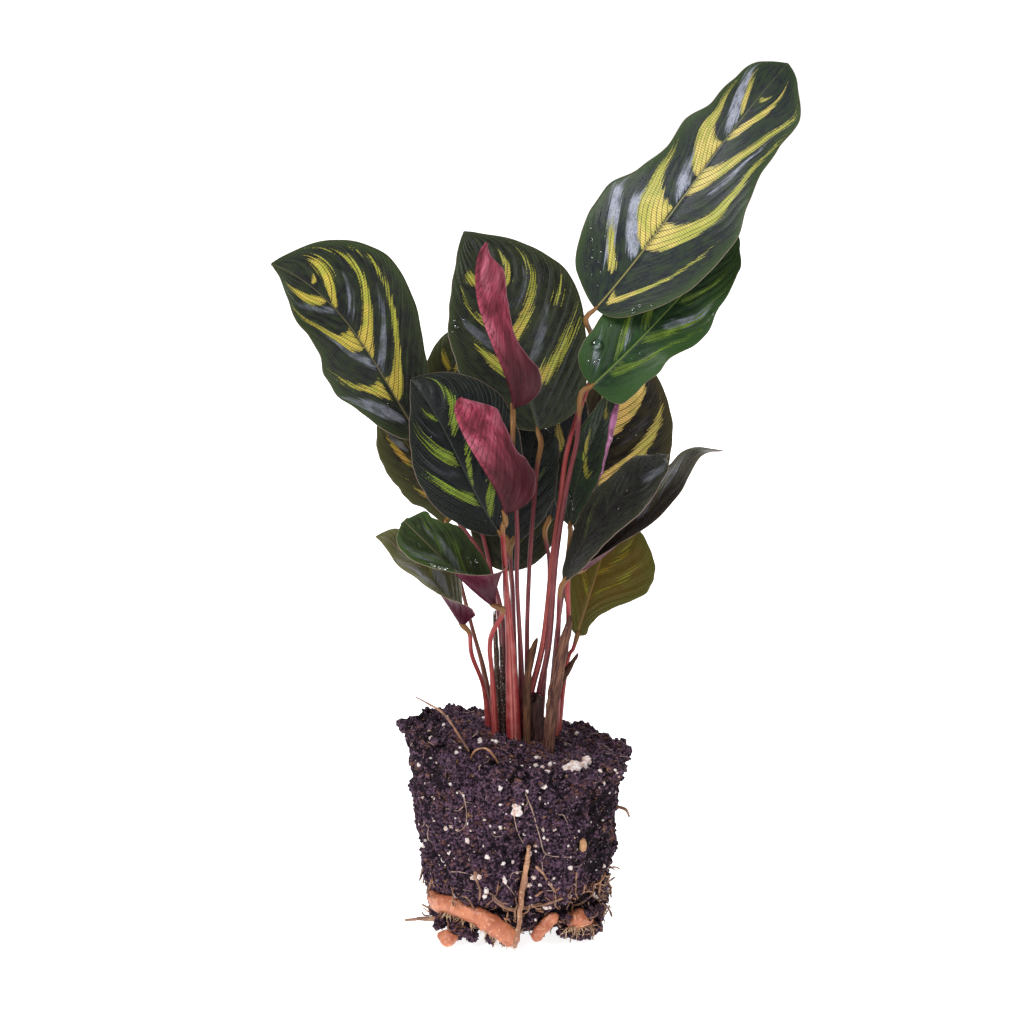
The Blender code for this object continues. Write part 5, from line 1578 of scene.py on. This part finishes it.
hand_over(crumbs_on_clumps, "soil")
threads_on_clumps = run_tree(threads, clumps, "fine_roots_low", Per_Square_Metre=26000.0, Shortest=0.003,
                             Longest=0.009, Thickness=0.00028, Lowest=0.002, Stand_Off=1.6, Seed=26,
                             Finish=brown_root)
hand_over(threads_on_clumps, "root")

# %% Short hairs under the left root and on the root at the right
def hairs(count, path, seed, lengths, radius, downward):
    """Bent tapering hairs that leave a path, as one list of vertices and one of faces."""
    chance = np.random.default_rng(seed)
    vertices, faces = [], []
    for _ in range(count):
        start = path[chance.integers(0, len(path))]
        way = chance.normal(0, 1, 3)
        way[2] = -abs(way[2]) * downward
        way[1] = -abs(way[1])
        way = way / np.linalg.norm(way)
        long = chance.uniform(*lengths)
        bow = chance.normal(0, 0.25, 3)
        share = np.linspace(0, 1, 6)[:, None]
        line = start + way * long * share + bow * long * share ** 2
        line[:, 2] = np.maximum(line[:, 2], 0.4)
        base = len(vertices)
        rings = tube_rings(line, radius * (1 - 0.6 * share[:, 0]), 5)
        vertices += list(np.vstack(rings))
        faces += [tuple(base + i for i in face) for face in tube_faces(6, 5)]
    return vertices, faces


left_path = smooth_path(ROOTS["thick_root_left"][0], 60)[14:54]
left_path = left_path + np.array((0.0, -2.0, -3.2))
vertices, faces = hairs(70, left_path, 5, (2.6, 5.0), 0.27, 5.0)
right_path = smooth_path(ROOTS["right_tuber"][0], 20) + np.array((0.0, -3.0, -2.0))
more, more_faces = hairs(46, right_path, 6, (3.0, 7.0), 0.26, 1.4)
faces += [tuple(len(vertices) + i for i in face) for face in more_faces]
vertices += more
whisker_skin = root_finish("pale whiskers", (.62, .44, .28), (.78, .62, .46), (.42, .25, .14), -0.1)
hair = add_piece("root_hairs", vertices, faces, [whisker_skin])
hand_over(hair, "root")
print("hair triangles:", triangles(hair))

# %% [markdown]
# ## Perlite
# White grains of popped volcanic glass lighten the soil. They are rounded, pitted lumps from dust
# up to about 10 mm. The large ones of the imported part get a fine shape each, and smaller ones are set
# where they sit on the front of the ball. On the back the crumb tree scatters more of them.

# %% Grains on the front, in millimetres
# Grains on the front: x, height and size, as seen from the front.
FRONT_GRAINS = (
    (4, 37, 3.7), (-6, 37, 3.3), (-24, 56, 3.1), (6, 51, 3.0), (-15, 31, 2.9), (15, 93, 2.7),
    (-14, 49, 2.5), (-33, 48, 2.5), (10, 99, 2.3), (16, 96, 2.3), (6, 34, 2.3), (-8, 86, 2.3),
    (13, 87, 2.2), (-18, 105, 2.2), (-48, 89, 2.1), (-42, 103, 2.1), (32, 51, 2.0), (8, 38, 2.0),
    (-32, 62, 2.0), (-12, 106, 1.9), (26, 26, 1.8), (11, 34, 1.8), (-2, 47, 1.8), (-8, 65, 1.8),
    (2, 29, 1.8), (-39, 30, 1.6), (-45, 51, 1.6), (47, 94, 1.5), (18, 37, 1.5), (18, 63, 1.5),
    (16, 34, 1.5), (5, 85, 1.5), (2, 104, 1.5), (-26, 80, 1.5), (50, 82, 1.5), (38, 22, 1.5),
    (18, 96, 1.5), (13, 59, 1.5), (11, 81, 1.5), (9, 55, 1.5), (-9, 83, 1.5), (-29, 61, 1.5),
    (-8, 77, 1.4), (-13, 65, 1.4), (-46, 73, 1.4), (51, 93, 1.3), (24, 103, 1.3), (9, 52, 1.3),
    (0, 41, 1.3), (-11, 28, 1.3), (-38, 21, 1.3), (48, 87, 1.2), (39, 36, 1.2), (27, 111, 1.2),
    (26, 48, 1.2), (9, 93, 1.2), (-24, 65, 1.2), (-39, 94, 1.2), (-42, 95, 1.2), (42, 63, 1.1),
    (40, 87, 1.1), (30, 61, 1.1), (25, 54, 1.1), (-11, 62, 1.1), (-38, 45, 1.1), (-41, 75, 1.1),
    (-42, 33, 1.1), (49, 85, 1.0), (31, 108, 1.0), (3, 62, 1.0), (-6, 65, 1.0), (-7, 34, 1.0),
    (-15, 112, 1.0), (-22, 66, 1.0), (-29, 81, 1.0), (-30, 67, 1.0), (-36, 109, 1.0), (46, 87, 0.8),
)

# %% Finish of perlite
def perlite_finish(name, white, dirt, earth):
    finish, tree, shader = new_finish(name, 0.85)
    spot = tree.node("ShaderNodeTexCoord").outputs["Object"]
    cloud = tree.noise(spot, 420.0, 3.0)
    colour = tree.mix(tree.step(cloud, 0.42, 0.66, 0.0, 0.8), white, dirt)
    soiled = use_group(tree, dusting, Amount=earth, Grain=600.0)["Mask"]
    colour = tree.mix(tree.math("MULTIPLY", soiled, 0.9), colour, (.10, .05, .035))
    tree.feed(shader.inputs["Base Color"], colour)
    tree.feed(shader.inputs["Roughness"], tree.step(cloud, 0.3, 0.7, 0.75, 0.95))
    add_bump(tree, shader, tree.math("ADD", cloud, tree.noise(spot, 1500.0, 2.0)), 0.0006, 0.8)
    return finish


perlite_white = perlite_finish("perlite", (.74, .66, .64), (.44, .25, .17), 0.12)
bud_skin = perlite_finish("root bud", (.48, .27, .13), (.36, .17, .08), -0.1)


# %% Set the grains
def pinch(height):
    """Two grains that touch: the share of the width at this height from the middle."""
    return 1 - 0.42 * np.exp(-(height / 1.1) ** 2)


for order, (name, (middle, sizes, turn)) in enumerate(GRAINS.items()):
    points, faces = pebble(middle, sizes, turn, 12, 30 + order, 0.34 if name.startswith("perlite") else 0.16)
    if name == "perlite_front":
        points[:, :2] = middle[:2] + (points[:, :2] - middle[:2]) * pinch(points[:, 2] - middle[2])[:, None]
    grain = add_piece("fine_" + name, points, faces, [bud_skin if name == "root_bud" else perlite_white])
    hand_over(grain, "root" if name == "root_bud" else "perlite", name)


def on_front(x, height):
    """The place on the soil that is seen at x and this height on the front of the ball."""
    share = np.clip((height - BALL_BASE_HEIGHT_FRONT) / (BALL_HEIGHT - BALL_BASE_HEIGHT_FRONT), 0, 1)
    radius = BALL_BASE_RADIUS + (BALL_TOP_RADIUS - BALL_BASE_RADIUS) * share
    y = -np.sqrt(max(radius ** 2 - x ** 2, 4.0))
    radius = radius + soil_bump(share, np.arctan2(y, x))
    y = -np.sqrt(max(radius ** 2 - x ** 2, 4.0))
    level = soil_top(x, y)
    if height <= level:
        return x, y - 0.5, height
    steep = sin(CAMERA_HEIGHT_ANGLE) / cos(CAMERA_HEIGHT_ANGLE)
    return x, y + (height - level) / steep, level + 0.8


chance = np.random.default_rng(3)
vertices, faces = [], []
for order, (x, height, size) in enumerate(FRONT_GRAINS):
    sizes = size * chance.uniform(0.30, 0.66, 3)
    points, more = pebble(on_skin(on_front(x, height), 0.25 * size), sizes, chance.uniform(0, 3), 4, order, 0.6)
    faces += [tuple(len(vertices) + i for i in face) for face in more]
    vertices += list(points)
small_grains = add_piece("perlite_front_grains", vertices, faces, [perlite_white])
hand_over(small_grains, "perlite")
thing = run_tree(crumbs, soil, "perlite_bits", Per_Square_Metre=9000.0, Smallest=0.0003, Largest=0.0018,
                 Lowest=0.006, Highest=1.0, Rarity=3.5, Flatness=0.8, Unevenness=0.35, Seed=14,
                 Finish=perlite_white)
hand_over(thing, "perlite")
print("front grains:", len(FRONT_GRAINS))

# %% [markdown]
# ## A rolled margin
# The narrow leaf at the right has rolled its margin forward, so a lilac strip of the underside shows
# along it. The strip is a thin round tube on the margin of that leaf.

# %% Roll the margin
MARGIN_STEPS = 60
MARGIN_SIDES = 12
MARGIN_WIDTHS = (0.35, 0.5, 0.7, 1.0, 1.5, 1.7, 1.3, 0.5)
t = np.linspace(0.40, 0.985, MARGIN_STEPS)
grid, normal, _, _ = leaf_sheet("right_narrow", t, np.array([0.96, 0.98, 1.0]))
path = grid[:, 2] + normal[:, 2] * 0.5
radii = np.interp(np.linspace(0, 1, MARGIN_STEPS), np.linspace(0, 1, len(MARGIN_WIDTHS)), MARGIN_WIDTHS)
rings = np.array(tube_rings(path, radii * rounded_ends(MARGIN_STEPS, 0.04), MARGIN_SIDES))
lilac = root_finish("rolled margin", (.30, .085, .20), (.52, .26, .42), (.16, .035, .09), -0.5)
strip = add_piece("rolled_margin", rings.reshape(-1, 3), tube_faces(MARGIN_STEPS, MARGIN_SIDES), [lilac])
hand_over(strip, "blade")

# %% [markdown]
# ## Water drops
# The plant was misted. Drops gather on the waxy leaves near the stalk and along low margins. Each is a
# flattened bead of clear water set on the blade at a share of its length and half width. The large one
# is tinted green, painted in for the dark leaf seen through it.

# %% Drops: leaf, then share along, share across and radius in millimetres
DROPS = {
    "right_top": ((.120, -.64, .75), (.160, -.78, .95), (.140, -.70, .6), (.100, -.38, .7),
                  (.165, -.26, .8), (.085, -.70, .6), (.120, -.50, .55), (.150, -.55, .5),
                  (.075, -.52, .5), (.180, -.42, .45), (.200, -.60, .5), (.080, .88, 1.6),
                  (.105, .80, .9), (.130, .90, .7), (.190, -.86, .5), (.060, -.30, .5)),
    "right_second": ((.150, -.68, 3.0), (.100, -.52, .8), (.085, -.42, 1.0), (.110, -.38, .7),
                     (.260, -.70, .9), (.280, -.42, .7), (.070, -.60, .6), (.260, .28, .7),
                     (.220, .20, .5), (.620, .90, .9), (.590, .86, .5), (.300, .16, .4)),
    "centre_top": ((.570, -.84, 1.5), (.590, -.70, .6), (.550, -.92, .5), (.600, -.88, .5)),
    "low_left_upper": ((.640, -.95, 1.0), (.665, -.93, .8), (.700, -.90, 1.1), (.725, -.86, .8),
                       (.620, -.88, .6), (.680, -.82, .5), (.815, -.35, .8), (.830, -.30, .4),
                       (.235, .63, .9), (.300, .50, .6), (.340, .52, .5), (.560, -.92, .7)),
    "left_centre": ((.660, -.40, .6), (.640, .20, .5), (.700, .55, .7), (.120, -.20, .5), (.09, .30, .5)),
    "right_back": ((.540, .15, .8), (.520, .08, .5), (.580, .42, .7), (.600, .30, .5), (.560, .22, .4)),
    "right_narrow": ((.180, .00, .9), (.130, .28, .9), (.160, .12, .5), (.210, -.10, .5)),
    "centre_low": ((.380, .24, .8), (.400, .34, .5), (.520, .70, .6)),
    "right_dark": ((.600, .30, .5), (.700, .05, .6), (.560, -.20, .5), (.740, .20, .4)),
    "left_back_low": ((.640, -.10, .6),),
    "centre_back": ((.260, -.55, .6), (.320, -.08, 1.0), (.760, -.60, .8)),
    "left_top": ((.200, -.30, .6),),
}


def bead(middle, normal, radius, around=14, rings=8):
    """A closed drop that stands 0.62 of its radius out of the surface."""
    side = unit(np.cross(normal, (0.31, 0.12, 0.94)))
    other = np.cross(normal, side)
    rows = []
    for polar in np.linspace(0, pi, rings + 1)[1:-1]:
        out, rise = sin(polar), 0.62 * cos(polar)
        for turn in np.linspace(0, 2 * pi, around, endpoint=False):
            rows.append(radius * (out * (cos(turn) * side + sin(turn) * other) + rise * normal))
    rows += [radius * 0.62 * normal, -radius * 0.62 * normal]
    count = (rings - 1) * around
    made = []
    for ring in range(rings - 2):
        for i in range(around):
            here, there = ring * around + i, ring * around + (i + 1) % around
            made.append((here, there, there + around, here + around))
    made += [(i, (i + 1) % around, count) for i in range(around)]
    made += [(count - around + i, count - around + (i + 1) % around, count + 1) for i in range(around)]
    return np.array(rows) + middle, made


# %% Set the drops
def water_finish(name, shallow, deep):
    finish, tree, shader = new_finish(name, 0.03, IOR=1.38, Transmission_Weight=1.0, Coat_Weight=1.0,
                                     Coat_Roughness=0.02)
    spot = tree.node("ShaderNodeTexCoord").outputs["Object"]
    tree.feed(shader.inputs["Base Color"], tree.mix(tree.noise(spot, 300.0), shallow, deep))
    return finish


water = water_finish("water", (.97, .98, .98), (1.0, 1.0, 1.0))
# The large drop is tinted green: painted in for the dark leaf seen through the drop.
leaf_tinted_water = water_finish("water tinted like the leaf", (.30, .50, .32), (.42, .62, .44))
LARGE_DROP = 1.4
vertices, faces, kinds = [], [], []
for name, rows in DROPS.items():
    for along, across, radius in rows:
        t = np.array([along - 0.004, along, along + 0.004])
        v = np.array([across - 0.01, across, across + 0.01])
        grid, normal, _, _ = leaf_sheet(name, t, v)
        foot = grid[1, 1] + normal[1, 1] * (BLADE_HALF_THICKNESS + 0.38 * radius)
        points, more = bead(foot, normal[1, 1], radius)
        faces += [tuple(len(vertices) + i for i in face) for face in more]
        kinds += [1 if radius > LARGE_DROP else 0] * len(more)
        vertices += list(points)
drops = add_piece("water_drops", vertices, faces, [water, leaf_tinted_water], kinds)
hand_over(drops, "blade")
print("drops:", sum(len(rows) for rows in DROPS.values()))
